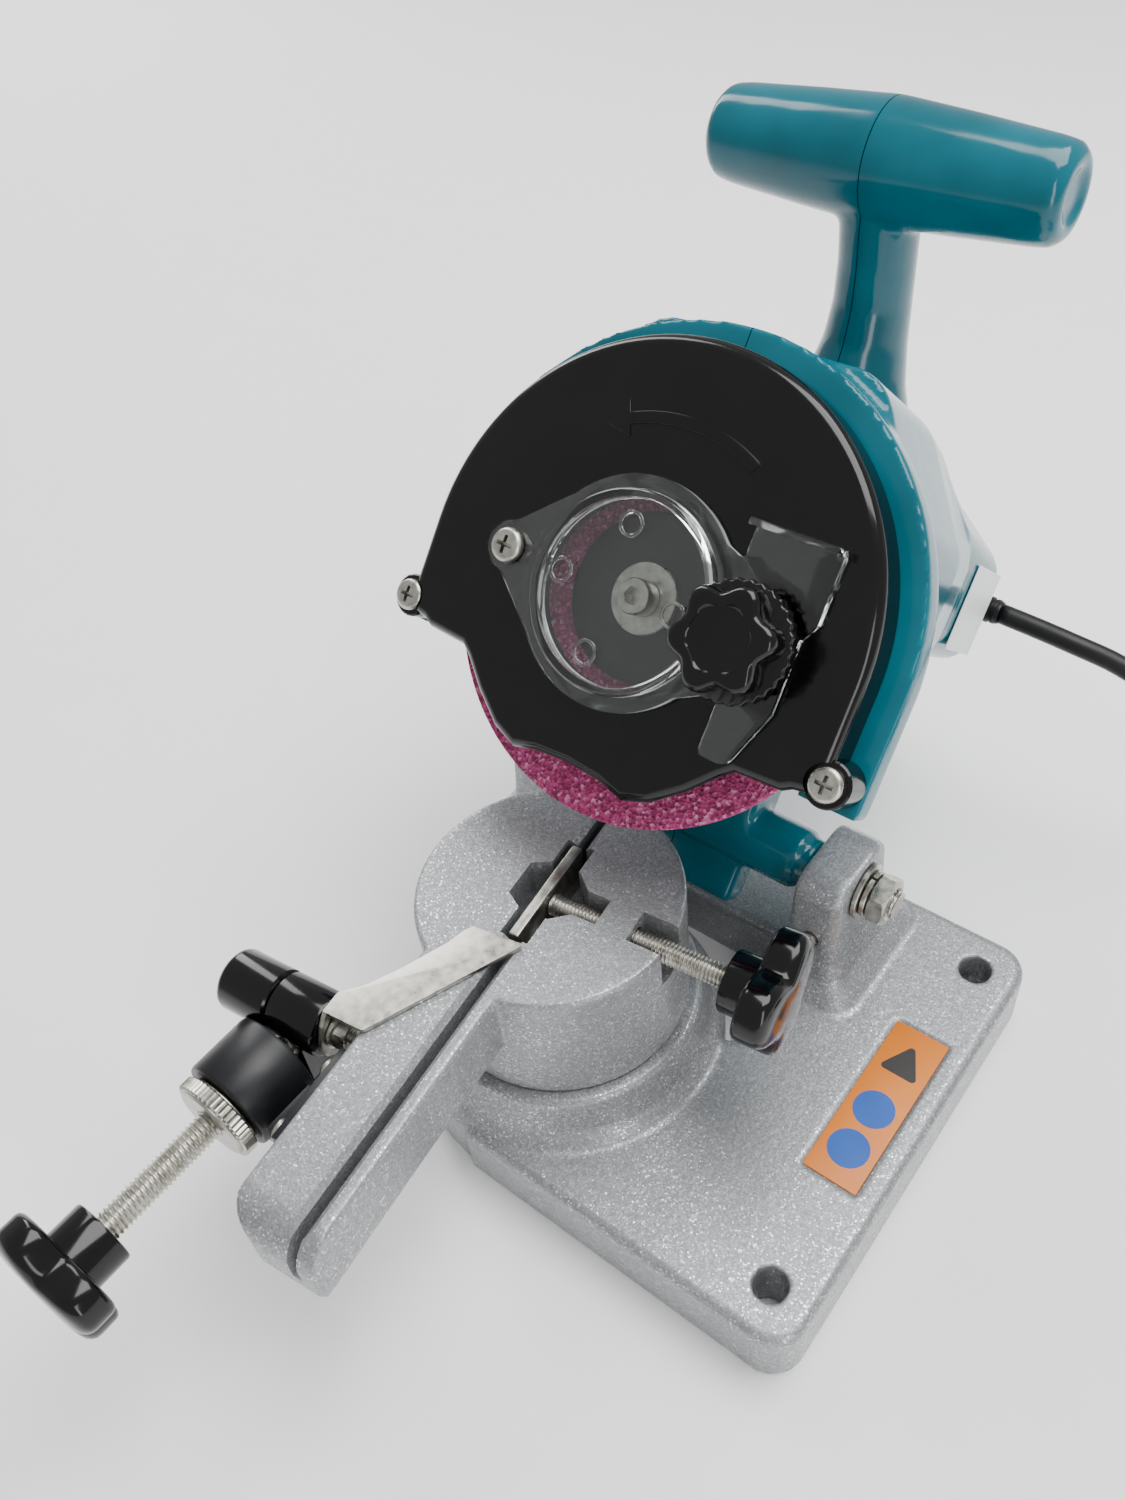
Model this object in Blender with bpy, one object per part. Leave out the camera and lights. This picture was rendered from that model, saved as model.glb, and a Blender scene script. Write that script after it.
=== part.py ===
"""Bench saw-chain grinder: cast base, swivelling chain vise with stop, tilting motor head."""

from math import cos, pi, radians, sin

import bmesh
import bpy
from mathutils import Euler, Vector

MM = 0.001       # sizes and shapes below are in millimetres; place() scales each piece to metres
GAP = 0.3        # between pieces that touch
RUN = 0.2        # radial play of shafts and screws in their holes

# Wheel and spindle (head frame: origin on the hinge axis, wheel plane upright)
WHEEL_R = 54
WHEEL_T = 3.2
WHEEL_BORE_R = 11.5
WHEEL_Y = -64.4
WHEEL_Z = 54.3
FLANGE_R = 20
SPINDLE_R = 5
BEARING_R = 13
REAR_BEARING_R = 11
# Base (the origin is the bottom centre of the machine without its cord)
TURNTABLE_X = -15
TURNTABLE_Y = -15.37
BASE_TOP = 20
BASE_RIGHT = 97
BASE_FRONT = -45
BASE_BACK = 86.5
BEAM_LEFT = -58
BEAM_FRONT = 53.5
NOTCH_RIGHT = 46
NOTCH_FRONT = 16.5
WALL = 6
CORNER_R = 9
BENCH_HOLE_R = 4.3
BENCH_HOLE_X = 85.3
BENCH_HOLE_Y = (-32.4, 74.1)
BOSS_TOP = 34.6
BOSS_R = 36.5
# Hinge
HINGE_Y = 61.1
HINGE_Z = 48.3
HINGE_R = 4
LUG_IN = 42
LUG_OUT = 55.5
TILT = radians(41.7)
# Vise
VISE_TURN = radians(6.9)
TABLE_R = 34.1
TABLE_TOP = 73.9
ARM_LEFT = -18
ARM_RIGHT = 5.6
ARM_END = -104
ARM_BOTTOM = 54.5
SLOT_HALF = 1.2
POCKET_HALF = 3.9
SLOT_FLOOR = 61
CLAMP_R = 3
CLAMP_Z = 68.5
PIVOT_R = 4
# Chain stop (own frame: +Y towards the wheel along the adjusting screw)
STOP_AT = (-40, -72.7, 60)
STOP_R = 3.7
STOP_BOSS_R = 12.4
BARREL_R = 8
BARREL_Y = -54.3
BARREL_Z = 67
SHEET = 1.2
# Head shell
RING_R = 65.3
RING_FRONT = -66
RING_BACK = -56.6
LEG_END = 27
GUARD_R = 59.2
GUARD_FRONT = -77.4
SHELL = 3
MOTOR_R = 30
MOTOR_END = 18
COVER_FACE = GUARD_FRONT - GAP - 2
CORD_R = 3

for old in list(bpy.data.objects):
    bpy.data.objects.remove(old, do_unlink=True)


# ---------------------------------------------------------------- shape tools
def mesh_object(name, points, faces):
    """A mesh from points and faces, normals facing out."""
    mesh = bpy.data.meshes.new(name)
    mesh.from_pydata([Vector(p) for p in points], [], faces)
    shape = bmesh.new()
    shape.from_mesh(mesh)
    bmesh.ops.recalc_face_normals(shape, faces=shape.faces)
    shape.to_mesh(mesh)
    shape.free()
    item = bpy.data.objects.new(name, mesh)
    bpy.context.scene.collection.objects.link(item)
    return item


def spot(axis, along, a, b):
    """Point with `along` on the axis; (a, b) are the two others in X, Y, Z order."""
    return {"X": (along, a, b), "Y": (a, along, b), "Z": (a, b, along)}[axis]


def loft(name, rings):
    """Skin over rings of equal count, both ends closed."""
    count = len(rings[0])
    points = [p for ring in rings for p in ring]
    faces = [list(range(count)), list(range(len(points) - count, len(points)))]
    for level in range(len(rings) - 1):
        low = level * count
        for i in range(count):
            j = (i + 1) % count
            faces.append([low + i, low + j, low + count + j, low + count + i])
    return mesh_object(name, points, faces)


def prism(name, axis, outline, start, end):
    """Outline pushed along one axis."""
    return loft(name, [[spot(axis, at, a, b) for a, b in outline] for at in (start, end)])


def circle(radius, count, centre=(0, 0), phase=0.0):
    turn = [phase + 2 * pi * i / count for i in range(count)]
    return [(centre[0] + radius * cos(t), centre[1] + radius * sin(t)) for t in turn]


def rod(name, axis, radius, start, end, centre=(0, 0), count=24):
    return prism(name, axis, circle(radius, count, centre), start, end)


def turned(name, axis, profile, centre=(0, 0), count=28):
    """Profile of (radius, along) from one end of the axis to the other; end radii may be 0."""
    rings = []
    for radius, along in profile:
        ring = circle(max(radius, 0.05), count, centre)
        rings.append([spot(axis, along, a, b) for a, b in ring])
    return loft(name, rings)


def hollow_ring(name, axis, inner, outer, start, end, centre=(0, 0), count=28):
    """Washer or sleeve."""
    points, faces = [], []
    for radius, at in ((outer, start), (outer, end), (inner, end), (inner, start)):
        points += [spot(axis, at, a, b) for a, b in circle(radius, count, centre)]
    for level in range(4):
        low, high = level * count, (level + 1) % 4 * count
        for i in range(count):
            j = (i + 1) % count
            faces.append([low + i, low + j, high + j, high + i])
    return mesh_object(name, points, faces)


def box(name, low, high):
    outline = [(low[0], low[1]), (high[0], low[1]), (high[0], high[1]), (low[0], high[1])]
    return prism(name, "Z", outline, low[2], high[2])


def rounded(corners, radii, steps=4):
    """Outline with each corner rounded by its own radius, or less where its sides are short."""
    result = []
    total = len(corners)
    for i, corner in enumerate(corners):
        here = Vector(corner)
        radius = radii[i] if isinstance(radii, (list, tuple)) else radii
        if radius <= 0:
            result.append(tuple(here))
            continue
        back = Vector(corners[i - 1]) - here
        ahead = Vector(corners[(i + 1) % total]) - here
        longest = 0.46 * min(back.length, ahead.length)
        back.normalize()
        ahead.normalize()
        half = back.angle(ahead) / 2
        reach = min(longest, radius * cos(half) / sin(half))
        radius = reach * sin(half) / cos(half)
        centre = here + (back + ahead).normalized() * (radius / sin(half))
        first = here + back * reach - centre
        last = here + ahead * reach - centre
        for k in range(steps + 1):
            way = first.lerp(last, k / steps)
            result.append(tuple(centre + way.normalized() * radius))
    return result


def inset(outline, depth):
    """Outline moved inwards (outline runs anticlockwise)."""
    result = []
    total = len(outline)
    for i, point in enumerate(outline):
        here = Vector(point)
        one = (here - Vector(outline[i - 1])).normalized()
        two = (Vector(outline[(i + 1) % total]) - here).normalized()
        side = Vector((-one.y, one.x)) + Vector((-two.y, two.x))
        side.normalize()
        lean = max(0.4, side.dot(Vector((-one.y, one.x))))
        result.append(tuple(here + side * (depth / lean)))
    return result


def slab(name, axis, outline, start, end, edge, steps=2):
    """Prism whose edge at `end` is rounded over."""
    way = 1 if end > start else -1
    rings = [[spot(axis, start, a, b) for a, b in outline]]
    for k in range(steps + 1):
        turn = pi / 2 * k / steps
        at = end - way * edge * (1 - sin(turn))
        ring = inset(outline, edge * (1 - cos(turn)))
        rings.append([spot(axis, at, a, b) for a, b in ring])
    return loft(name, rings)


def apply_all(item):
    """Turns the modifiers into the mesh itself."""
    graph = bpy.context.evaluated_depsgraph_get()
    mesh = bpy.data.meshes.new_from_object(item.evaluated_get(graph))
    item.modifiers.clear()
    item.data = mesh


def combine(item, kind, tools):
    for tool in tools:
        step = item.modifiers.new(kind.title(), "BOOLEAN")
        step.operation = kind
        step.solver = "EXACT"
        step.object = tool
        apply_all(item)
        bpy.data.objects.remove(tool, do_unlink=True)
    return item


def join(item, *tools):
    return combine(item, "UNION", tools)


def cut(item, *tools):
    return combine(item, "DIFFERENCE", tools)


def common(item, *tools):
    return combine(item, "INTERSECT", tools)


def soften(item, width, steps=2, angle=50):
    step = item.modifiers.new("Soft edges", "BEVEL")
    step.width = width
    step.segments = steps
    step.limit_method = "ANGLE"
    step.angle_limit = radians(angle)
    apply_all(item)
    return item


# ---------------------------------------------------------------- frames and finishes
def frame(name, at, turn, parent=None):
    empty = bpy.data.objects.new(name, None)
    bpy.context.scene.collection.objects.link(empty)
    empty.location = Vector(at) * MM
    empty.rotation_euler = turn
    empty.parent = parent
    return empty


base_frame = frame("base_frame", (TURNTABLE_X, TURNTABLE_Y, 0), (0, 0, 0))
vise_frame = frame("vise_frame", (0, 0, 0), (0, 0, VISE_TURN), base_frame)
stop_frame = frame("stop_frame", STOP_AT, (0, 0, -VISE_TURN), vise_frame)
head_frame = frame("head_frame", (0, HINGE_Y, HINGE_Z), (-TILT, 0, 0), base_frame)


def finish(name, colour, roughness, metallic=0.0, alpha=1.0):
    material = bpy.data.materials.new(name)
    material.use_nodes = True
    shader = material.node_tree.nodes["Principled BSDF"]
    shader.inputs["Base Color"].default_value = (*colour, 1)
    shader.inputs["Roughness"].default_value = roughness
    shader.inputs["Metallic"].default_value = metallic
    shader.inputs["Alpha"].default_value = alpha
    return material


SILVER = finish("silver_cast_paint", (0.50, 0.51, 0.53), 0.45, 0.6)
TEAL = finish("teal_gloss_plastic", (0.0, 0.16, 0.24), 0.2)
BLACK = finish("black_gloss_plastic", (0.01, 0.01, 0.011), 0.2)
BLACK_MATT = finish("black_moulded_plastic", (0.018, 0.018, 0.02), 0.45)
CLEAR = finish("clear_polycarbonate", (0.9, 0.92, 0.92), 0.05, 0.0, 0.35)
ZINC = finish("zinc_plated_steel", (0.62, 0.62, 0.60), 0.3, 1.0)
STEEL = finish("ground_steel", (0.45, 0.44, 0.42), 0.35, 1.0)
PINK = finish("pink_corundum", (0.38, 0.035, 0.15), 0.9)
LABEL = finish("orange_label_film", (0.80, 0.38, 0.01), 0.4)
PAPER = finish("white_label_film", (0.8, 0.8, 0.8), 0.4)
COPPER = finish("copper_winding", (0.55, 0.22, 0.08), 0.4, 1.0)
CARBON = finish("carbon_brush", (0.03, 0.03, 0.03), 0.7)
RUBBER = finish("black_cord_rubber", (0.012, 0.012, 0.013), 0.55)
BRASS = finish("plated_pin", (0.7, 0.68, 0.6), 0.25, 1.0)


def place(item, material, parent, smooth=True):
    """Scales a finished piece to metres and gives it its finish, frame and shading."""
    for vertex in item.data.vertices:
        vertex.co *= MM
    item.data.materials.clear()
    item.data.materials.append(material)
    item.parent = parent
    if smooth:
        for face in item.data.polygons:
            face.use_smooth = True
        item.data.set_sharp_from_angle(angle=radians(35))
    return item


def hexagon(across, centre=(0, 0), phase=0.0):
    return circle(across / 2 / cos(pi / 6), 6, centre, phase)


def cross_head(name, axis, radius, height, shank_r, shank, centre, face, way):
    """Pan-head cross-recess screw; its head's top is at `face`, `way` points out of the head."""
    back = face - way * height
    profile = [
        (shank_r, back - way * shank), (shank_r, back), (radius, back),
        (radius, back + way * 0.45 * height), (0.7 * radius, face),
    ]
    screw = turned(name, axis, profile, centre, 14)
    long, thin = 0.55 * radius, 0.11 * radius
    deep = 0.55 * height
    for half_a, half_b in ((long, thin), (thin, long)):
        a0, b0 = centre
        outline = [(a0 - half_a, b0 - half_b), (a0 + half_a, b0 - half_b)]
        outline += [(a0 + half_a, b0 + half_b), (a0 - half_a, b0 + half_b)]
        slot = prism("slot", axis, outline, face - way * deep, face + way)
        cut(screw, slot)
    return screw


# ---------------------------------------------------------------- base casting
def base_outline():
    corners = [
        (0, BASE_FRONT), (BASE_RIGHT, BASE_FRONT), (BASE_RIGHT, BASE_BACK),
        (BEAM_LEFT, BASE_BACK), (BEAM_LEFT, BEAM_FRONT), (NOTCH_RIGHT, BEAM_FRONT),
        (NOTCH_RIGHT, NOTCH_FRONT), (0, NOTCH_FRONT),
    ]
    return rounded(corners, [0] + [CORNER_R] * 6 + [0])


def lug(side):
    """Hinge lug with a flared foot, right side for +1 and left for -1."""
    y0, y1 = HINGE_Y - 15.4, HINGE_Y + 15
    levels = [
        (BASE_TOP - 3, 2, 11.5, 8.6, 8.5, 6), (BASE_TOP + 1.5, 1.5, 7.5, 6, 6.5, 6),
        (BASE_TOP + 5, 0.7, 3.5, 2.6, 3.5, 5), (BASE_TOP + 11, 0.2, 1.1, 0.7, 1, 4),
        (BASE_TOP + 18, 0, 0, 0, 0, 3),
        (HINGE_Z + 5.2, 0, 0, -1.6, -1.6, 3), (HINGE_Z + 8, 0, 0, -4.6, -4.6, 3),
        (HINGE_Z + 9.2, 0, 0, -8.6, -8.6, 3),
    ]
    rings = []
    for z, inside, outside, front, back, r in levels:
        x0, x1 = LUG_IN - inside, LUG_OUT + outside
        corners = [(x0, y0 - front), (x1, y0 - front), (x1, y1 + back), (x0, y1 + back)]
        ring = rounded(corners, [1, r, r, 1], 3)
        rings.append([(side * x, y, z) for x, y in ring])
    return loft("lug", rings)


base = slab("base_casting", "Z", base_outline(), 0, BASE_TOP, 2.4)
boss_profile = [
    (BOSS_R + 7, 0), (BOSS_R + 7, 18), (BOSS_R + 5.6, 21), (BOSS_R + 3.2, 24),
    (BOSS_R + 1.8, 29), (BOSS_R + 0.9, BOSS_TOP - 0.8), (BOSS_R, BOSS_TOP),
]
join(base, turned("boss", "Z", boss_profile, count=48), lug(1), lug(-1))

ROOF = BASE_TOP - WALL
well_x, well_y = BASE_RIGHT - WALL, BASE_BACK - WALL
wells = prism("wells", "Z", rounded([
    (NOTCH_RIGHT + WALL, BASE_FRONT + WALL), (well_x, BASE_FRONT + WALL),
    (well_x, well_y), (NOTCH_RIGHT + WALL, well_y)], 5, 3), -5, ROOF)
front_well = rounded([(0, BASE_FRONT + WALL), (60, BASE_FRONT + WALL),
                      (60, NOTCH_FRONT - WALL), (0, NOTCH_FRONT - WALL)], 4, 3)
back_well = rounded([(BEAM_LEFT + WALL, BEAM_FRONT + WALL), (60, BEAM_FRONT + WALL),
                     (60, well_y), (BEAM_LEFT + WALL, well_y)], 4, 3)
join(
    wells, prism("front_well", "Z", front_well, -5.5, ROOF - 0.05),
    prism("back_well", "Z", back_well, -6, ROOF + 0.05),
    rod("boss_well", "Z", BOSS_R, -6.5, BASE_TOP, count=40),
)
for y in BENCH_HOLE_Y:
    cut(wells, rod("bolt_post", "Z", 9, -9, 30, (BENCH_HOLE_X, y)))
cut(base, wells)
for y in BENCH_HOLE_Y:
    hole = [(BENCH_HOLE_R, -2), (BENCH_HOLE_R, BASE_TOP - 0.9),
            (BENCH_HOLE_R + 0.9, BASE_TOP), (BENCH_HOLE_R + 0.9, BASE_TOP + 2)]
    cut(base, turned("bench_hole", "Z", hole, (BENCH_HOLE_X, y), 24))
cut(base, rod("hinge_bore", "X", HINGE_R + RUN, -70, 80, (HINGE_Y, HINGE_Z)))
cut(base, rod("pivot_bore", "Z", PIVOT_R + RUN, 10, 50))
recess = rounded([(75, -2.6), (91.2, -2.6), (91.2, 48.6), (75, 48.6)], 0.8, 2)
cut(base, prism("label_recess", "Z", recess, BASE_TOP - 1, BASE_TOP + 2))
PIN_AT = (48.8, 38)
cut(base, rod("pin_hole", "Y", 2 + RUN, 30, 56, PIN_AT, 20))
place(base, SILVER, base_frame)

label = prism("base_label", "Z", inset(recess, 0.7), BASE_TOP - 1 + GAP, BASE_TOP - 0.3)
place(label, LABEL, base_frame, False)
pin_profile = [(2, 55.5), (2, 39), (1.4, 38.3)]
place(turned("rest_pin", "Y", pin_profile, PIN_AT, 20), ZINC, base_frame)

# Hinge bolt stack, all on the base
axle = (HINGE_Y, HINGE_Z)
bolt = turned("hinge_bolt", "X", [
    (HINGE_R, -LUG_OUT - 2), (HINGE_R, LUG_OUT + 9.4), (HINGE_R - 0.8, LUG_OUT + 10.2)], axle)
head_hex = prism("head", "X", hexagon(13, axle), -LUG_OUT - GAP - 5.3, -LUG_OUT - GAP)
place(join(bolt, head_hex), ZINC, base_frame)
stack = LUG_OUT + GAP
washer = hollow_ring("hinge_washer", "X", HINGE_R + RUN, 8, stack, stack + 1.4, axle)
place(washer, ZINC, base_frame)
lock = hollow_ring("hinge_lock_washer", "X", HINGE_R + RUN, 6.6, stack + 1.7, stack + 3.1, axle)
place(lock, ZINC, base_frame)
nut = prism("hinge_nut", "X", hexagon(12.6, axle, 0.3), stack + 3.4, stack + 8.4)
cut(nut, rod("bore", "X", HINGE_R + RUN, 50, 80, axle))
place(nut, ZINC, base_frame)


def tube(name, path, radius, sides=8):
    """Round bar along a path of points, both ends closed."""
    rings = []
    points = [Vector(p) for p in path]
    side = None
    for i, point in enumerate(points):
        ahead = points[min(i + 1, len(points) - 1)] - points[max(i - 1, 0)]
        ahead.normalize()
        if side is None:
            side = ahead.orthogonal().normalized()
        side = (side - ahead * side.dot(ahead)).normalized()
        other = ahead.cross(side)
        turn = [2 * pi * k / sides for k in range(sides)]
        rings.append([point + (side * cos(t) + other * sin(t)) * radius for t in turn])
    return loft(name, rings)


# Torsion spring round the bolt, between the left knuckle and the left lug
SPRING_R = 6.6
WIRE_R = 0.7
TURNS = 4
spring_start, spring_end = -LUG_IN + 1.4, -LUG_IN + 11.4
coil = [(spring_start, HINGE_Y - SPRING_R, HINGE_Z - 20)]
for k in range(TURNS * 12 + 1):
    turn = 2 * pi * k / 12 + pi
    x = spring_start + (spring_end - spring_start) * k / (TURNS * 12)
    coil.append((x, HINGE_Y + SPRING_R * cos(turn), HINGE_Z - SPRING_R * sin(turn)))
coil.append((spring_end, HINGE_Y - SPRING_R, HINGE_Z + 15))
place(tube("return_spring", coil, WIRE_R, 5), STEEL, base_frame)

# ---------------------------------------------------------------- vise
vise = slab("vise_casting", "Z", circle(TABLE_R, 48), BOSS_TOP + GAP, TABLE_TOP, 0.8, 2)
plan = rounded([(ARM_LEFT, ARM_END), (ARM_RIGHT, ARM_END), (ARM_RIGHT, 0), (ARM_LEFT, 0)],
               [8, 1.5, 0, 0])
side_view = rounded([(ARM_END, ARM_BOTTOM), (2, ARM_BOTTOM), (2, TABLE_TOP),
                     (ARM_END, TABLE_TOP)], [2.5, 0, 0, 12.3], 6)
arm = slab("arm", "Z", plan, ARM_BOTTOM - 2, TABLE_TOP, 1.2)
common(arm, prism("arm_side", "X", side_view, ARM_LEFT - 5, ARM_RIGHT + 5))
join(vise, arm)
pocket = box("pocket", (-POCKET_HALF, -16.5, SLOT_FLOOR), (POCKET_HALF, 16, 80))
hex_side = [(-3, -8), (-3, 8), (-POCKET_HALF, 8), (-8.5, 5.2), (-8.5, -5.2), (-POCKET_HALF, -8)]
funnel = [(3, -8), (4.4, -8), (9, -4), (15.5, -4), (15.5, 4), (9, 4), (4.4, 8), (3, 8)]
join(
    pocket, box("slot", (-SLOT_HALF, -120, SLOT_FLOOR + 0.02), (SLOT_HALF, 50, 81)),
    prism("hex_side", "Z", hex_side, SLOT_FLOOR + 0.04, 82),
    prism("funnel", "Z", funnel, SLOT_FLOOR + 0.06, 83),
)
cut(vise, pocket, box("outer_pocket", (24.3, -4.6, SLOT_FLOOR), (45, 4.6, 84)))
cut(vise, rod("clamp_hole", "X", CLAMP_R + RUN, 10, 30, (0, CLAMP_Z)))
cut(vise, rod("pivot_hole", "Z", PIVOT_R + RUN, 20, 56))
SCREW_SPOTS = (("front", -80.5, 65), ("back", -63, 65))
for where, y, z in SCREW_SPOTS:
    cut(vise, rod("bracket_hole", "X", 1.7 + RUN, ARM_LEFT - 3, ARM_LEFT + 9, (y, z), 16))
place(vise, SILVER, vise_frame)

pivot = turned("pivot_bolt", "Z", [(PIVOT_R, 14), (PIVOT_R, 54), (PIVOT_R - 0.8, 55)])
join(pivot, prism("head", "Z", hexagon(13), 12.4, 17.7))
place(pivot, ZINC, vise_frame)
place(hollow_ring("pivot_washer", "Z", PIVOT_R + RUN, 9, 18, 19.6), ZINC, vise_frame)

jaw = box("jaw", (-2.3, -15.5, SLOT_FLOOR + GAP), (0.5, 15.5, TABLE_TOP - 0.5))
place(soften(jaw, 0.35, 1), STEEL, vise_frame, False)
clamp = turned("clamp_screw", "X", [
    (CLAMP_R - 0.7, 0.5 + GAP), (CLAMP_R, 1.6), (CLAMP_R, 57.7)], (0, CLAMP_Z), 24)
place(clamp, ZINC, vise_frame)


def lobed(axis, centre, lobes, radius, depth, stations, phase=0.0, count=36):
    """Star knob; stations are (along, share of the lobe radius, share of the lobe depth)."""
    rings = []
    for along, share, bite in stations:
        ring = []
        for i in range(count):
            turn = 2 * pi * i / count
            wave = 0.5 - 0.5 * cos(lobes * turn)
            r = share * (radius - bite * depth * wave ** 1.6)
            ring.append(spot(axis, along, centre[0] + r * cos(turn + phase),
                             centre[1] + r * sin(turn + phase)))
        rings.append(ring)
    return loft("lobed", rings)


def star_knob(name, axis, centre, lobes, radius, depth, collar_r, collar, face, way, phase):
    """Knob with a collar; its lobes start at `face` and `way` points to the hand."""
    stations = [(0, 0.94, 1), (1, 1, 1), (6.2, 1, 1), (8, 0.88, 1), (9.2, 0.5, 0.5)]
    knob = lobed(axis, centre, lobes, radius, depth,
                 [(face + way * a, s, b) for a, s, b in stations], phase)
    knob.name = name
    neck = turned("collar", axis, [(collar_r - 0.5, face - way * collar),
                                   (collar_r, face - way * (collar - 0.5)),
                                   (collar_r, face + way * 2)], centre, 24)
    return join(knob, neck)


clamp_knob = star_knob("clamp_knob", "X", (0, CLAMP_Z), 3, 16.8, 7, 8, 7, 56.5, 1, 0.5)
cut(clamp_knob, rod("bore", "X", CLAMP_R + RUN, 40, 58, (0, CLAMP_Z)))
place(clamp_knob, BLACK, vise_frame)

# ---------------------------------------------------------------- chain stop
def to_vise(item):
    """Moves a shape made in the stop's own frame into the vise frame."""
    for vertex in item.data.vertices:
        vertex.co.rotate(Euler((0, 0, -VISE_TURN)))
        vertex.co += Vector(STOP_AT)
    return item


bracket = turned("stop_bracket", "Y", [
    (STOP_BOSS_R - 0.6, -8), (STOP_BOSS_R, -7.4), (STOP_BOSS_R, 8.4), (STOP_BOSS_R - 0.6, 9),
], count=36)
join(bracket, box("tray_web", (-6.5, 3, -12), (6.5, 14, -9)),
     box("tray", (-6.4, 12, -12.1), (6.4, 32, -9.1)), box("web", (5, -6, -9), (20, 7, 1)))
cut(bracket, rod("bore", "Y", STOP_R + RUN, -40, 20))
to_vise(bracket)
join(bracket, box("flank", (ARM_LEFT - 3.6, -84, 55), (ARM_LEFT - GAP, -58.5, 69)))
for where, y, z in SCREW_SPOTS:
    hole = rod("screw_hole", "X", 1.7 + RUN, ARM_LEFT - 6, ARM_LEFT + 3, (y, z), 16)
    cut(bracket, hole)
    screw = cross_head("bracket_screw_" + where, "X", 3, 2, 1.7, 10, (y, z),
                       ARM_LEFT - 3.6 - GAP - 2, -1)
    place(screw, ZINC, vise_frame)
place(bracket, BLACK_MATT, vise_frame)

teeth = [(11.3 if i % 2 else 10.8) for i in range(48)]
rim = [(r * cos(2 * pi * i / 48), r * sin(2 * pi * i / 48)) for i, r in enumerate(teeth)]
lock_nut = prism("stop_lock_nut", "Y", rim, -8 - GAP - 4.4, -8 - GAP - 0.7)
join(lock_nut, rod("land", "Y", 9.6, -8 - GAP - 5, -8 - GAP))
cut(lock_nut, rod("bore", "Y", STOP_R + RUN, -40, 20))
place(lock_nut, ZINC, stop_frame)

stop_screw = turned("stop_screw", "Y", [
    (STOP_R, -56), (STOP_R, 16.2), (STOP_R - 0.8, 17)], count=24)
place(stop_screw, ZINC, stop_frame)
stop_knob = star_knob("stop_knob", "Y", (0, 0), 4, 17.6, 5.5, 8.2, 9, -53, -1, 0.35)
cut(stop_knob, rod("bore", "Y", STOP_R + RUN, -56.5, -30))
place(stop_knob, BLACK, stop_frame)

# Carriage: barrel across the arm with a foot that the screw pushes
barrel_at = (BARREL_Y, BARREL_Z)
barrel = to_vise(box("stop_barrel", (-3.8, 11.5, -8.8), (6.5, 24.5, 4)))
BARREL_END = -28.2
SPLIT = -43
join(
    barrel,
    turned("tube", "X", [(BARREL_R - 0.5, SPLIT + 0.2), (BARREL_R, SPLIT + 0.7),
                         (BARREL_R, BARREL_END - 0.8), (BARREL_R - 0.8, BARREL_END)],
           barrel_at, 32),
    rod("spigot", "X", BARREL_R - 2.8, SPLIT - 4.5, SPLIT + 2, barrel_at, 24),
)
cut(barrel, rod("bore", "X", 2 + RUN, -60, 0, barrel_at),
    to_vise(rod("socket", "Y", STOP_R + RUN, 0, 17.3)))
place(barrel, BLACK, vise_frame)
cap = turned("barrel_cap", "X", [
    (BARREL_R - 1.6, -58.7), (BARREL_R - 0.5, -58.2), (BARREL_R, -57.1),
    (BARREL_R, SPLIT - 0.7), (BARREL_R - 0.5, SPLIT - 0.2)], barrel_at, 32)
cut(cap, rod("hollow", "X", BARREL_R - 2.5, -55.5, SPLIT + 2, barrel_at, 24))
place(cap, BLACK, vise_frame)

# Pawl: sheet arm over the slot, its ear folded down beside the barrel
EAR = BARREL_END + GAP
sheet_z = TABLE_TOP + GAP
arm_plan = [(EAR, -58.5), (-19.5, -58), (-17.6, -54.6), (-15.4, -53.9), (4.1, -17.8),
            (-9.9, -18.8), (-11.9, -26.4), (-17.2, -37.8), (-21, -48), (EAR, -49.5)]
pawl = prism("pawl", "Z", arm_plan, sheet_z, sheet_z + SHEET)
ear = [(-58.5, sheet_z + SHEET), (-60.3, BARREL_Z), (-59, BARREL_Z - 4.5), (-56, BARREL_Z - 6.6),
       (-52.6, BARREL_Z - 6.6), (-49.8, BARREL_Z - 4.5), (-48.6, BARREL_Z), (-49.5, sheet_z + SHEET)]
join(pawl, prism("ear", "X", ear, EAR + 0.02, EAR + SHEET))
cut(pawl, rod("pawl_hole", "X", 2 + RUN, -40, -20, barrel_at, 20))
place(pawl, ZINC, vise_frame, False)
pawl_bolt = turned("pawl_bolt", "X", [
    (3.6, -51.2), (3.6, -48), (2, -48), (2, ARM_LEFT - 2.8), (1.5, ARM_LEFT - 2.3)],
    barrel_at, 24)
place(pawl_bolt, ZINC, vise_frame)
nut_face = EAR + SHEET + GAP
pawl_nut = turned("pawl_nut", "X", [(4.6, nut_face), (4.4, nut_face + 0.9), (3.4, nut_face + 1.4)],
                  barrel_at, 24)
join(pawl_nut, prism("hex", "X", hexagon(7, barrel_at, 0.2), nut_face + 0.5, nut_face + 4.2))
cut(pawl_nut, rod("bore", "X", 2 + RUN, -40, 0, barrel_at, 20))
place(pawl_nut, ZINC, vise_frame)

# ---------------------------------------------------------------- head: teal shell
hub = (0, WHEEL_Z)


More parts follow.
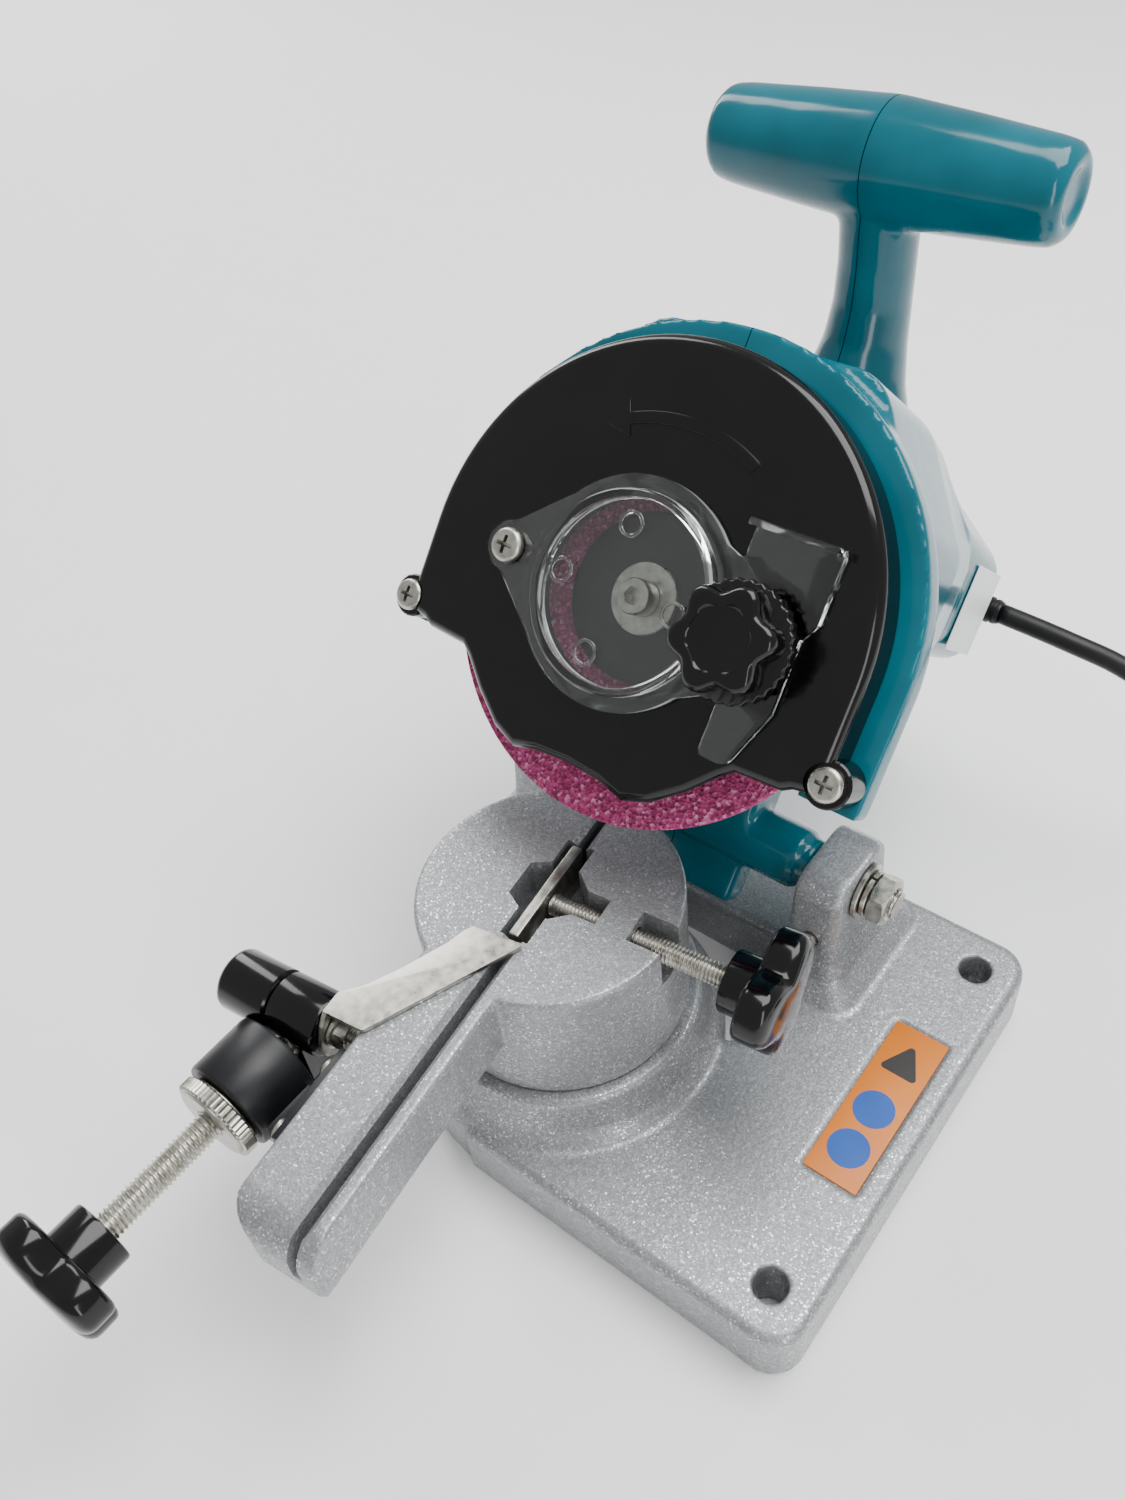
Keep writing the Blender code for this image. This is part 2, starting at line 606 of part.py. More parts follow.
def body_rings(shrink):
    """Sections of the upper housing along Y, moved inwards by `shrink`."""
    stations = [
        (-58, 52, 61, 88, 30, 118.6), (-15, 50, 60, 88, 28, 118.4),
        (4.6, 47, 60, 90, 26, 116.5), (5.6, 45, 61, 94, 26, 115),
        (43, 45, 62, 92, 22, 108.5), (50, 43, 65, 90, 20, 104.5), (57, 39, 70, 88, 18, 99),
        (62, 33, 76, 86.5, 15, 94), (65, 24, 80.5, 85.5, 10, 90),
    ]
    rings = []
    for y, half, low, shoulder, top_half, top in stations:
        half, top_half = half - shrink, top_half - 0.4 * shrink
        low, top = low + shrink, top - shrink
        shoulder = min(shoulder, top - 2)
        corners = [(-half, low), (half, low), (half, shoulder), (top_half, top),
                   (-top_half, top), (-half, shoulder)]
        edge = max(1.0, min(9, (shoulder - low) * 0.45))
        y = y - shrink if y > 0 else y + shrink * (y < -57)
        rings.append([(x, y, z) for x, z in rounded(corners, [edge, edge, 12, 14, 14, 12], 3)])
    return rings


def neck_rings(shrink):
    """Sections of the stalk that rises to the handle bar."""
    stations = [
        (5, 96, 30, 30, 0), (4, 112, 21.5, 23, 0.05), (2, 118, 16.5, 18.5, 0.1),
        (-0.5, 126, 12.6, 15, 0.22), (-4, 134, 10.6, 13.2, 0.4), (-9, 143, 9.7, 12, 0.5),
        (-16, 152, 9.5, 11.4, 0.65), (-24, 160.5, 9.8, 11, 0.7), (-30, 168, 9.8, 10, 0.7),
    ]
    rings = []
    for y, z, wide, deep, lean in stations:
        ring = []
        for a, b in circle(1, 20):
            b *= deep - shrink
            ring.append((a * (wide - shrink), y + b * cos(lean), z + b * sin(lean)))
        rings.append(ring)
    return rings


GRIP = (-31, 170)
grip_profile = [(5, -45), (7, -46.6), (9.6, -46), (11.3, -44), (11.9, -40), (13.4, -20), (14.5, -1),
                (14.5, 1), (13.4, 20), (11.9, 40), (11.3, 44), (9.6, 46), (7, 46.6), (5, 45)]
turn = [radians(t) for t in range(0, 181, 9)]
plate_plan = [(RING_R * cos(t), WHEEL_Z + RING_R * sin(t)) for t in turn]
plate_plan += [(-RING_R, LEG_END), (RING_R, LEG_END)]
shell = slab("shell", "Y", plate_plan, RING_FRONT, RING_BACK, 2.2)
arm_side = rounded([(-9, 40), (-9, 2), (-2, -9), (-2, -21), (9, -21), (9, 40)], 2, 3)
join(
    shell, loft("body", body_rings(0)), loft("neck", neck_rings(0)),
    slab("motor", "Y", circle(MOTOR_R, 28, hub), -58.3, MOTOR_END, 5),
    turned("grip", "X", grip_profile, GRIP, 24),
    prism("hinge_arm", "X", arm_side, -21.7, 21.7),
    rod("knuckle", "X", 8.75, -28, 37.4, count=28), rod("knuckle_end", "X", 7.2, 30, 41.7),
)
hollow = loft("hollow", body_rings(SHELL))
join(
    hollow, loft("neck_hollow", neck_rings(SHELL)),
    turned("grip_hollow", "X", [(6, -40), (8, -38), (10.5, -20), (11.4, -1), (11.4, 1), (10.5, 20),
                                (8, 38), (6, 40)], GRIP, 16),
    rod("motor_hollow", "Y", MOTOR_R - SHELL, -56, MOTOR_END - SHELL, hub, 28),
)
cut(
    shell, hollow, rod("wheel_well", "Y", WHEEL_R + 3, -80, -59, hub, 36),
    rod("shaft_hole", "Y", SPINDLE_R + 1, -62, -50, hub),
    rod("hinge_bore", "X", HINGE_R + RUN, -50, 50),
    box("switch_opening", (-4.6, 4, 124), (4.6, 22, 140)),
)
front_seat = hollow_ring("front_seat", "Y", BEARING_R + RUN, BEARING_R + 3, -56.5, -47.5, hub)
rear_seat = hollow_ring("rear_seat", "Y", REAR_BEARING_R + RUN, REAR_BEARING_R + 3, 7,
                        MOTOR_END - 2, hub)
join(shell, front_seat, rear_seat)
HOUSING_SCREWS = (("top", -38, 90, 48), ("rear", 45, 80, 43.4), ("hinge", 3.5, -14, 21.7))
for where, y, z, reach in HOUSING_SCREWS:
    if where != "hinge":
        join(shell, rod("post", "X", 4.4, -reach, reach, (y, z), 20))
    cut(shell, rod("screw_hole", "X", 1.5 + RUN, -reach - 20, 13, (y, z), 16))
    cut(shell, rod("head_hole", "X", 3.6, -reach - 20, -reach + 5, (y, z), 24))
SCREW_Z = WHEEL_Z - 20.9
SCREW_X = 59.5
for side in (1, -1):
    cut(shell, rod("guard_hole", "Y", 2 + RUN, -80, -59, (side * SCREW_X, SCREW_Z), 16))
CORD_Y, CORD_Z = 57, 80.5
cut(shell, rod("cord_hole", "X", 4.8, 20, 60, (CORD_Y, CORD_Z)))
left = shell.copy()
left.data = shell.data.copy()
bpy.context.scene.collection.objects.link(left)
shell.name, left.name = "housing_right", "housing_left"
common(shell, box("right_half", (GAP / 2, -90, -40), (90, 90, 200)))
common(left, box("left_half", (-90, -90, -40), (-GAP / 2, 90, 200)))
place(shell, TEAL, head_frame)
place(left, TEAL, head_frame)
for where, y, z, reach in HOUSING_SCREWS:
    screw = cross_head("housing_screw_" + where, "X", 3.2, 2.2, 1.5, reach + 7, (y, z),
                       -reach + 5 - GAP - 2.2, -1)
    place(screw, ZINC, head_frame)

label = box("rating_label", (45 + GAP, 18, 66), (45 + GAP + 0.3, 42, 90))
place(label, PAPER, head_frame, False)
relief = turned("strain_relief", "X", [
    (4.5, 22), (4.5, 27), (3.9, 27.4), (3.9, 29), (4.5, 29.4), (4.5, 38), (3.5, 46)],
    (CORD_Y, CORD_Z), 24)
place(relief, RUBBER, head_frame)
place(box("switch_body", (-4.3, -7.5, 126), (4.3, 3.5, 138)), BLACK_MATT, head_frame, False)
rocker = prism("switch_rocker", "X", rounded([(5, 125), (13.4, 126), (12.2, 131.5), (12.8, 139),
                                              (5, 139)], [1, 1.4, 3, 1.4, 1], 3), -4.2, 4.2)
place(rocker, BLACK_MATT, head_frame)

# ---------------------------------------------------------------- guard and clear cover
turn = [radians(t) for t in range(0, 181, 9)]
guard_plan = [(GUARD_R * cos(t), GUARD_R * sin(t)) for t in turn]
lower = [(-GUARD_R, -24), (-53, -25), (-50.8, -26.3), (-39.5, -26.9), (-36.8, -29),
         (-30.5, -35.5), (-23, -41.6), (-16, -44.3), (-9, -42.5)]
guard_plan += lower + [(0, -41.9)] + [(-x, z) for x, z in reversed(lower)]
guard_plan = [(x, z + WHEEL_Z) for x, z in guard_plan]
guard = slab("wheel_guard", "Y", guard_plan, RING_FRONT - GAP, GUARD_FRONT, 3)
inside_r = GUARD_R - 2.4
room = [(inside_r * cos(t), WHEEL_Z + inside_r * sin(t)) for t in turn]
room += [(-inside_r, -20), (inside_r, -20)]
cut(guard, prism("room", "Y", room, -50, GUARD_FRONT + 2.2))
EAR_FACE = -75.4
for side in (1, -1):
    join(guard, rod("ear", "Y", 5.4, RING_FRONT - GAP, EAR_FACE, (side * SCREW_X, SCREW_Z), 20))
    cut(guard, rod("seat", "Y", 4.7, EAR_FACE, -90, (side * SCREW_X, SCREW_Z), 20))
    cut(guard, rod("ear_hole", "Y", 2 + RUN, -90, -50, (side * SCREW_X, SCREW_Z), 16))
KNOB_AT = (32.5, WHEEL_Z)
PIP_AT = (-33.2, WHEEL_Z + 0.3)
cut(
    guard, rod("cover_opening", "Y", 21.5, -90, -70, hub, 36),
    rod("latch_hole", "Y", 2.8, -90, -70, KNOB_AT), rod("pip_hole", "Y", 1.7 + RUN, -90, -70, PIP_AT),
)
place(guard, BLACK, head_frame)
for side, where in ((1, "right"), (-1, "left")):
    screw = cross_head("guard_screw_" + where, "Y", 4, 2, 2, 14,
                       (side * SCREW_X, SCREW_Z), EAR_FACE - GAP - 2, -1)
    place(screw, ZINC, head_frame)

COVER_BACK = GUARD_FRONT - GAP
cover = rod("clear_cover", "Y", 27, COVER_BACK, COVER_FACE, hub, 44)
ear_hull = [(-15, 22), (-33.6, 6.6), (-37.2, 5.4), (-39.6, 1.9), (-39.6, -1.5), (-37.2, -4.9),
            (-33.6, -6), (-15, -22)]
wing = [(15, 20), (25, 16.5), (25, 25.5), (46, 25.5), (46, 9), (43.5, 5), (43.5, -12),
        (38, -26), (31, -26), (31, -12), (15, -20)]
join(
    cover,
    prism("ear", "Y", [(x, z + WHEEL_Z) for x, z in ear_hull], COVER_BACK - 0.02, COVER_FACE + 0.02),
    prism("wing", "Y", [(x, z + WHEEL_Z) for x, z in wing], COVER_BACK - 0.03, COVER_FACE + 0.03),
    box("lip", (25, COVER_FACE - 4.5, WHEEL_Z + 23.9), (46, COVER_FACE + 0.5, WHEEL_Z + 25.5)),
    turned("dome", "Y", [(23.5, COVER_FACE + 0.5), (23.5, COVER_FACE - 2.4),
                         (22.7, COVER_FACE - 3.2)], hub, 40),
)
cut(
    cover, rod("dome_room", "Y", 21.3, -60, COVER_FACE - 1.6, hub, 36),
    rod("latch_hole", "Y", 2.8, -90, -70, KNOB_AT), rod("pip_hole", "Y", 1.7 + RUN, -90, -70, PIP_AT),
)
place(cover, CLEAR, head_frame)
pip = cross_head("cover_screw", "Y", 4.2, 2.4, 1.7, 7, PIP_AT, COVER_FACE - GAP - 2.4, -1)
place(pip, ZINC, head_frame)

KNOB_BACK = COVER_FACE - 3.2 - GAP
cover_knob = lobed("Y", KNOB_AT, 6, 12.4, 2.6, [
    (KNOB_BACK - 3, 0.94, 1), (KNOB_BACK - 4, 1, 1), (KNOB_BACK - 10, 1, 1),
    (KNOB_BACK - 11.2, 0.9, 1)], 0.3)
cover_knob.name = "cover_knob"
ribs = [(13.6 if i % 2 else 12.9) for i in range(40)]
rim = [(KNOB_AT[0] + r * cos(2 * pi * i / 40), KNOB_AT[1] + r * sin(2 * pi * i / 40))
       for i, r in enumerate(ribs)]
join(cover_knob, prism("collar", "Y", rim, KNOB_BACK, KNOB_BACK - 3.6),
     rod("stud", "Y", 2.4, -72, KNOB_BACK - 2, KNOB_AT))
place(cover_knob, BLACK_MATT, head_frame)

# ---------------------------------------------------------------- spindle and motor
half_t = WHEEL_T / 2
wheel = hollow_ring("grinding_wheel", "Y", WHEEL_BORE_R, WHEEL_R, WHEEL_Y - half_t,
                    WHEEL_Y + half_t, hub, 72)
place(wheel, PINK, head_frame)
wheel_back = WHEEL_Y + half_t + GAP
wheel_front = WHEEL_Y - half_t - GAP
rear_flange = turned("rear_flange", "Y", [
    (WHEEL_BORE_R - GAP, WHEEL_Y - 1), (WHEEL_BORE_R - GAP, wheel_back), (FLANGE_R, wheel_back),
    (FLANGE_R, wheel_back + 1.8), (9, wheel_back + 3)], hub)
cut(rear_flange, rod("bore", "Y", SPINDLE_R + RUN, -80, -40, hub))
place(rear_flange, STEEL, head_frame)
front_flange = hollow_ring("front_flange", "Y", 2.5 + RUN, FLANGE_R, wheel_front - 1.5,
                           wheel_front, hub)
place(front_flange, BLACK_MATT, head_frame)
washer_face = wheel_front - 1.5 - GAP
wheel_washer = hollow_ring("wheel_washer", "Y", 2.5 + RUN, 8.5, washer_face - 1.2, washer_face,
                           hub)
place(wheel_washer, ZINC, head_frame)
head_face = washer_face - 1.2 - GAP
wheel_bolt = turned("wheel_bolt", "Y", [
    (3.9, head_face - 5), (4.25, head_face - 4.6), (4.25, head_face), (2.5, head_face),
    (2.5, -52)], hub)
cut(wheel_bolt, prism("socket", "Y", hexagon(4, hub), head_face - 7, head_face - 2.6))
place(wheel_bolt, ZINC, head_frame)
spindle = rod("spindle", "Y", SPINDLE_R, wheel_front + 1.6, 14, hub)
cut(spindle, rod("thread", "Y", 2.5 + RUN, -80, -51, hub))
place(spindle, STEEL, head_frame)


def on_shaft(name, outer, start, end, material):
    ring = hollow_ring(name, "Y", SPINDLE_R + RUN, outer, start, end, hub)
    place(ring, material, head_frame)


on_shaft("front_bearing", BEARING_R, -55.7, -47.7, STEEL)
on_shaft("rear_bearing", REAR_BEARING_R, 7, 14, STEEL)
on_shaft("armature", 16, -33, -9, COPPER)
on_shaft("commutator", 9, -6, 2, COPPER)
blades = []
for i in range(40):
    r = 23 if i % 5 < 2 else 11
    blades.append((hub[0] + r * cos(2 * pi * i / 40), hub[1] + r * sin(2 * pi * i / 40)))
fan = prism("fan", "Y", blades, -45, -38)
join(fan, rod("disc", "Y", 23.4, -38.5, -36.9, hub, 32))
cut(fan, rod("bore", "Y", SPINDLE_R + RUN, -60, -20, hub))
place(fan, BLACK_MATT, head_frame)
stator = hollow_ring("stator", "Y", 17, MOTOR_R - SHELL - GAP, -34, -8, hub, 36)
place(stator, STEEL, head_frame)
for side, where in ((1, "right"), (-1, "left")):
    ends = sorted((side * 9.3, side * 19))
    brush = box("brush_" + where, (ends[0], -4.6, WHEEL_Z - 3), (ends[1], 0.6, WHEEL_Z + 3))
    place(brush, CARBON, head_frame, False)

# ---------------------------------------------------------------- cord, coil and plug
exit_y = HINGE_Y + CORD_Y * cos(TILT) + CORD_Z * sin(TILT)
exit_z = HINGE_Z - CORD_Y * sin(TILT) + CORD_Z * cos(TILT)
COIL_R = 33
COIL_AT = (225, exit_y - COIL_R - CORD_R)
route = [(46.3, 0, exit_z), (56, 0.3, exit_z - 0.8), (68, 1, exit_z - 2.4), (82, 2, exit_z - 5),
         (97, 2.4, exit_z - 11), (111, 2.2, exit_z - 22), (123, 1.7, exit_z - 36),
         (134, 1.2, exit_z - 49), (147, 0.7, exit_z - 60), (163, 0.2, CORD_R + 0.8),
         (182, 0, CORD_R + GAP), (202.5, 0, CORD_R + GAP)]
route = [(x, exit_y + dy, z) for x, dy, z in route]


def smooth_path(points, each):
    """Curve through the points, in even steps of the neighbours' blend."""
    points = [Vector(p) for p in points]
    ends = [2 * points[0] - points[1]] + points + [2 * points[-1] - points[-2]]
    result = []
    for i in range(1, len(ends) - 2):
        p0, p1, p2, p3 = ends[i - 1:i + 3]
        for k in range(each):
            t = k / each
            result.append(0.5 * (2 * p1 + (p2 - p0) * t + (2 * p0 - 5 * p1 + 4 * p2 - p3) * t * t
                                 + (3 * p1 - p0 - 3 * p2 + p3) * t ** 3))
    return result + [points[-1]]


cord_line = bpy.data.curves.new("power_cord", "CURVE")
cord_line.dimensions = "3D"
cord_line.bevel_depth = CORD_R * MM
cord_line.bevel_resolution = 2
cord_line.use_fill_caps = True
cord_points = smooth_path(route, 2)
spline = cord_line.splines.new("POLY")
spline.points.add(len(cord_points) - 1)
for control, point in zip(spline.points, cord_points):
    control.co = (*(point * MM), 1)
    control.radius = 1
cord_line.materials.append(RUBBER)
cord = bpy.data.objects.new("power_cord", cord_line)
bpy.context.scene.collection.objects.link(cord)
cord.parent = base_frame
LAYERS = 4
coil_in, coil_out = COIL_R - 2 * CORD_R - 0.2, COIL_R + 2 * CORD_R + 0.2
coil_top = GAP + LAYERS * 2 * CORD_R + 0.2
coil_profile = [(coil_in + 2, GAP), (coil_out - 2, GAP), (coil_out, 2.6), (coil_out, coil_top - 2.3),
                (coil_out - 2, coil_top), (coil_in + 2, coil_top), (coil_in, coil_top - 2.3),
                (coil_in, 2.6)]
points, faces, count = [], [], 32
for r, z in coil_profile:
    points += [(COIL_AT[0] + a, COIL_AT[1] + b, z) for a, b in circle(r, count)]
for level in range(len(coil_profile)):
    low, high = level * count, (level + 1) % len(coil_profile) * count
    for i in range(count):
        j = (i + 1) % count
        faces.append([low + i, low + j, high + j, high + i])
place(mesh_object("cord_coil", points, faces), RUBBER, base_frame)
# The plug lies beside the coil and points along -Y
PLUG_X, PLUG_Y, PLUG_Z = COIL_AT[0] + 38.5, COIL_AT[1] - 45, 9.3
plug_sections = ((0, 4), (8, 6), (20, 14.5), (40, 14.8), (43, 13))
plug = loft("plug_body", [[(PLUG_X + a, PLUG_Y - back, PLUG_Z + b * 0.6) for a, b in circle(r, 24)]
                          for back, r in plug_sections])
for side, where in ((1, "right"), (-1, "left")):
    at = (PLUG_X + side * 9, PLUG_Z)
    cut(plug, rod("pin_hole", "Y", 2.2 + RUN, PLUG_Y - 60, PLUG_Y - 33, at, 16))
    pin = turned("plug_pin_" + where, "Y", [
        (1.2, PLUG_Y - 62), (2.2, PLUG_Y - 60), (2.2, PLUG_Y - 34)], at, 16)
    place(pin, BRASS, base_frame)
place(plug, BLACK_MATT, base_frame)
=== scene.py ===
"""Bench saw-chain grinder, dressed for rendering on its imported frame."""
from math import cos, pi, radians, sin

import bmesh
import bpy
from mathutils import Matrix, Vector


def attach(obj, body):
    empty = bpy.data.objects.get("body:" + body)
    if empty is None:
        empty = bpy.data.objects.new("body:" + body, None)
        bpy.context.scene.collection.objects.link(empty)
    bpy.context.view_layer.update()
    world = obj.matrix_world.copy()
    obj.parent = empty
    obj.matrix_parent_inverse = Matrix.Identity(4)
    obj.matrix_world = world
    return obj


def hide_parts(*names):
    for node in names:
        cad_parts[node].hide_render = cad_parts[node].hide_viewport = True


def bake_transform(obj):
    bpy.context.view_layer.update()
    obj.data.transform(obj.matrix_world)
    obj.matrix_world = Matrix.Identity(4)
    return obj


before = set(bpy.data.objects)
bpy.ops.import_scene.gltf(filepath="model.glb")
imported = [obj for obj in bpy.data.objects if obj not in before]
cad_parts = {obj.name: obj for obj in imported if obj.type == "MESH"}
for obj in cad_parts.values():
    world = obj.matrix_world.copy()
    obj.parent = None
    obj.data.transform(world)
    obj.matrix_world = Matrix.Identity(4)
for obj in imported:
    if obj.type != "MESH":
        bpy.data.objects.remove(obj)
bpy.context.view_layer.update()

MM = 0.001
# Pieces are drawn in millimetres in one of these places
TILT = radians(41.7)
SWIVEL = radians(6.9)
TURNTABLE = Vector((-0.015, -0.01537, 0))
BASE = Matrix.Translation(TURNTABLE) @ Matrix.Scale(MM, 4)
VISE = BASE @ Matrix.Rotation(SWIVEL, 4, "Z")
STOP_LINE = BASE @ Matrix.Translation((-30.98, -76.98, 60))
HEAD = BASE @ Matrix.Translation((0, 61.1, 48.3)) @ Matrix.Rotation(-TILT, 4, "X")

# ------------------------------------------------------------------ camera
camera = bpy.data.objects.new("camera", bpy.data.cameras.new("camera"))
bpy.context.scene.collection.objects.link(camera)
EYE = TURNTABLE + Vector((0.14210, -0.13891, 0.32625))
AIM = TURNTABLE + Vector((-0.05915, 0.07406, 0.02543))
ROLL = radians(-7.53)
back = (EYE - AIM).normalized()
level = Vector((0, 0, 1)).cross(back).normalized()
lift = back.cross(level)
right = level * cos(ROLL) + lift * sin(ROLL)
up = lift * cos(ROLL) - level * sin(ROLL)
camera.matrix_world = Matrix((
    (right.x, up.x, back.x, EYE.x), (right.y, up.y, back.y, EYE.y),
    (right.z, up.z, back.z, EYE.z), (0, 0, 0, 1)))
camera.data.sensor_fit = "VERTICAL"
camera.data.sensor_height = 36
camera.data.lens = 30.86
camera.data.clip_start = 0.01
bpy.context.scene.camera = camera


# ------------------------------------------------------------------ node materials
def tone(code):
    """sRGB hex to a linear colour."""
    parts = [int(code[i:i + 2], 16) / 255 for i in (1, 3, 5)]
    return (*[p / 12.92 if p <= 0.04045 else ((p + 0.055) / 1.055) ** 2.4 for p in parts], 1)


def add(material, kind, links=None, stops=None, **settings):
    """Adds a node: settings are its properties or inputs, links its wires, stops its colours."""
    tree = material.node_tree
    node = tree.nodes.new("ShaderNode" + kind)
    for key, value in settings.items():
        if hasattr(node, key):
            setattr(node, key, value)
        else:
            node.inputs[key.replace("_", " ")].default_value = value
    for key, source in (links or {}).items():
        tree.links.new(source, node.inputs[key])
    for i, (at, shade) in enumerate(stops or []):
        band = node.color_ramp.elements
        mark = band[i] if i < 2 else band.new(at)
        mark.position = at
        mark.color = tone(shade) if isinstance(shade, str) else (shade, shade, shade, 1)
    return node.outputs[0]


def new_finish(name, **values):
    """A Principled material with its constant sockets set."""
    material = bpy.data.materials.new(name)
    material.use_nodes = True
    shader = material.node_tree.nodes["Principled BSDF"]
    for key, value in values.items():
        shader.inputs[key.replace("_", " ")].default_value = value
    return material, shader


def wire(material, source, shader, socket):
    material.node_tree.links.new(source, shader.inputs[socket])


def silver_sparkle_paint():
    """Baked enamel with aluminium flakes on a sand casting: grey, pin-point glints, soft waves."""
    material, shader = new_finish("silver flake enamel", Metallic=0.5, Coat_Weight=0.3,
                                  Coat_Roughness=0.18)
    place = add(material, "TexCoord").node.outputs["Object"]
    # Flakes are 0.1 mm really; drawn at 0.4 mm so that they show
    cells = add(material, "TexVoronoi", {"Vector": place}, Scale=1000 / 0.4).node
    flake = add(material, "SeparateColor", {"Color": cells.outputs["Color"]})
    shade = add(material, "ValToRGB", {"Fac": flake}, [(0, "#7b7d80"), (1, "#e6e7e8"),
                                                       (0.6, "#8e9092"), (0.92, "#a0a2a4")])
    wire(material, shade, shader, "Base Color")
    gloss = add(material, "ValToRGB", {"Fac": flake}, [(0, 0.5), (1, 0.15), (0.85, 0.42)])
    wire(material, gloss, shader, "Roughness")
    grain = add(material, "TexNoise", {"Vector": place}, Scale=1000 / 1.2, Detail=4)
    swell = add(material, "TexNoise", {"Vector": place}, Scale=1000 / 8, Detail=2)
    height = add(material, "Math", {0: grain, 1: swell}, operation="ADD")
    wire(material, add(material, "Bump", {"Height": height}, Distance=0.12 * MM), shader, "Normal")
    return material


def moulded(name, dark, light, roughness, ripple_mm, spread=0.06, coat=0.0):
    """Injection-moulded plastic: even colour, slight changes of gloss, faint sink waviness."""
    material, shader = new_finish(name, IOR=1.49, Coat_Weight=coat, Coat_Roughness=0.05,
                                  Specular_IOR_Level=0.35)
    place = add(material, "TexCoord").node.outputs["Object"]
    cloud = add(material, "TexNoise", {"Vector": place}, Scale=1000 / 22)
    wire(material, add(material, "ValToRGB", {"Fac": cloud}, [(0.3, dark), (0.7, light)]),
         shader, "Base Color")
    handling = add(material, "TexNoise", {"Vector": place}, Scale=1000 / 6, Detail=5)
    wire(material, add(material, "ValToRGB", {"Fac": handling},
                       [(0.35, roughness), (0.75, roughness + spread)]), shader, "Roughness")
    wave = add(material, "TexNoise", {"Vector": place}, Scale=1000 / 16, Detail=1)
    wire(material, add(material, "Bump", {"Height": wave}, Distance=ripple_mm * MM),
         shader, "Normal")
    return material


def plated(name, dark, light, roughness):
    """Steel, plated or machined: patchy tone and fine tool marks under a bright skin."""
    material, shader = new_finish(name, Metallic=1.0)
    place = add(material, "TexCoord").node.outputs["Object"]
    patch = add(material, "TexNoise", {"Vector": place}, Scale=1000 / 2.5, Detail=4)
    wire(material, add(material, "ValToRGB", {"Fac": patch}, [(0.3, dark), (0.7, light)]),
         shader, "Base Color")
    wire(material, add(material, "ValToRGB", {"Fac": patch},
                       [(0.3, roughness), (0.7, roughness + 0.12)]), shader, "Roughness")
    mark = add(material, "TexNoise", {"Vector": place}, Scale=1000 / 0.5, Detail=3)
    wire(material, add(material, "Bump", {"Height": mark}, Distance=0.01 * MM), shader, "Normal")
    return material


def corundum():
    """Vitrified pink abrasive: matt, grains of several reds with open pores between."""
    material, shader = new_finish("pink vitrified corundum", Roughness=0.92)
    place = add(material, "TexCoord").node.outputs["Object"]
    # Grit is 0.2 mm really; drawn at 0.8 mm so that it shows
    cells = add(material, "TexVoronoi", {"Vector": place}, Scale=1000 / 0.8).node
    grain = add(material, "SeparateColor", {"Color": cells.outputs["Color"]})
    wire(material, add(material, "ValToRGB", {"Fac": grain},
                       [(0, "#7a1c4a"), (1, "#d28aac"), (0.4, "#a03368"), (0.8, "#b8477d")]),
         shader, "Base Color")
    wire(material, add(material, "Bump", {"Height": cells.outputs["Distance"]},
                       Distance=0.5 * MM), shader, "Normal")
    return material


def clear_plastic():
    """Clear polycarbonate: nearly invisible faces, bright edges, hairline scuffs."""
    material, shader = new_finish("clear polycarbonate", Transmission_Weight=1.0, IOR=1.58,
                                  Base_Color=tone("#f3f7f7"))
    place = add(material, "TexCoord").node.outputs["Object"]
    scuff = add(material, "TexNoise", {"Vector": place}, Scale=1000 / 3, Detail=5)
    wire(material, add(material, "ValToRGB", {"Fac": scuff}, [(0.4, 0.02), (0.8, 0.1)]),
         shader, "Roughness")
    return material


def winding():
    """Enamelled copper wire: fine warm rows."""
    material, shader = new_finish("enamelled copper", Metallic=1.0, Roughness=0.3)
    place = add(material, "TexCoord").node.outputs["Object"]
    rows = add(material, "TexWave", {"Vector": place}, Scale=300, Distortion=1.5)
    wire(material, add(material, "ValToRGB", {"Fac": rows}, [(0.2, "#6b3115"), (0.8, "#c97b45")]),
         shader, "Base Color")
    wire(material, add(material, "Bump", {"Height": rows}, Distance=0.1 * MM), shader, "Normal")
    return material


SILVER = silver_sparkle_paint()
TEAL = moulded("gloss teal ABS", "#00525f", "#01606f", 0.14, 0.05, 0.05, 0.1)
BLACK = moulded("gloss black ABS", "#050506", "#09090b", 0.12, 0.05, 0.06, 0.05)
NYLON = moulded("satin black nylon", "#0f1012", "#17181b", 0.32, 0.04, 0.12)
RUBBER = moulded("black PVC sheath", "#0b0b0c", "#141415", 0.42, 0.03, 0.1)
CLEAR = clear_plastic()
ZINC = plated("bright zinc plate", "#9c9a91", "#c9c7be", 0.26)
THREAD = plated("zinc plated thread", "#a5a299", "#d2d0c8", 0.28)
STEEL = plated("ground steel", "#8a8880", "#bab8b0", 0.3)
PINK = corundum()
COPPER = winding()
CARBON = moulded("pressed carbon", "#1a1a1b", "#262627", 0.7, 0.02)
ORANGE = moulded("orange vinyl film", "#cc6c00", "#d97a00", 0.34, 0.01)
BLUE = moulded("blue printed film", "#00479c", "#0553ad", 0.34, 0.01)
INK = moulded("black printed film", "#141210", "#1d1a17", 0.34, 0.01)
PAPER = moulded("white vinyl film", "#d9dcde", "#eceeef", 0.36, 0.01)


# ------------------------------------------------------------------ shape tools (millimetres)
def spot(axis, along, a, b):
    """Point `along` an axis; a and b are the two others in X, Y, Z order."""
    return {"X": (along, a, b), "Y": (a, along, b), "Z": (a, b, along)}[axis]


def circle(radius, count, centre=(0, 0), phase=0.0):
    turn = [phase + 2 * pi * i / count for i in range(count)]
    return [(centre[0] + radius * cos(t), centre[1] + radius * sin(t)) for t in turn]


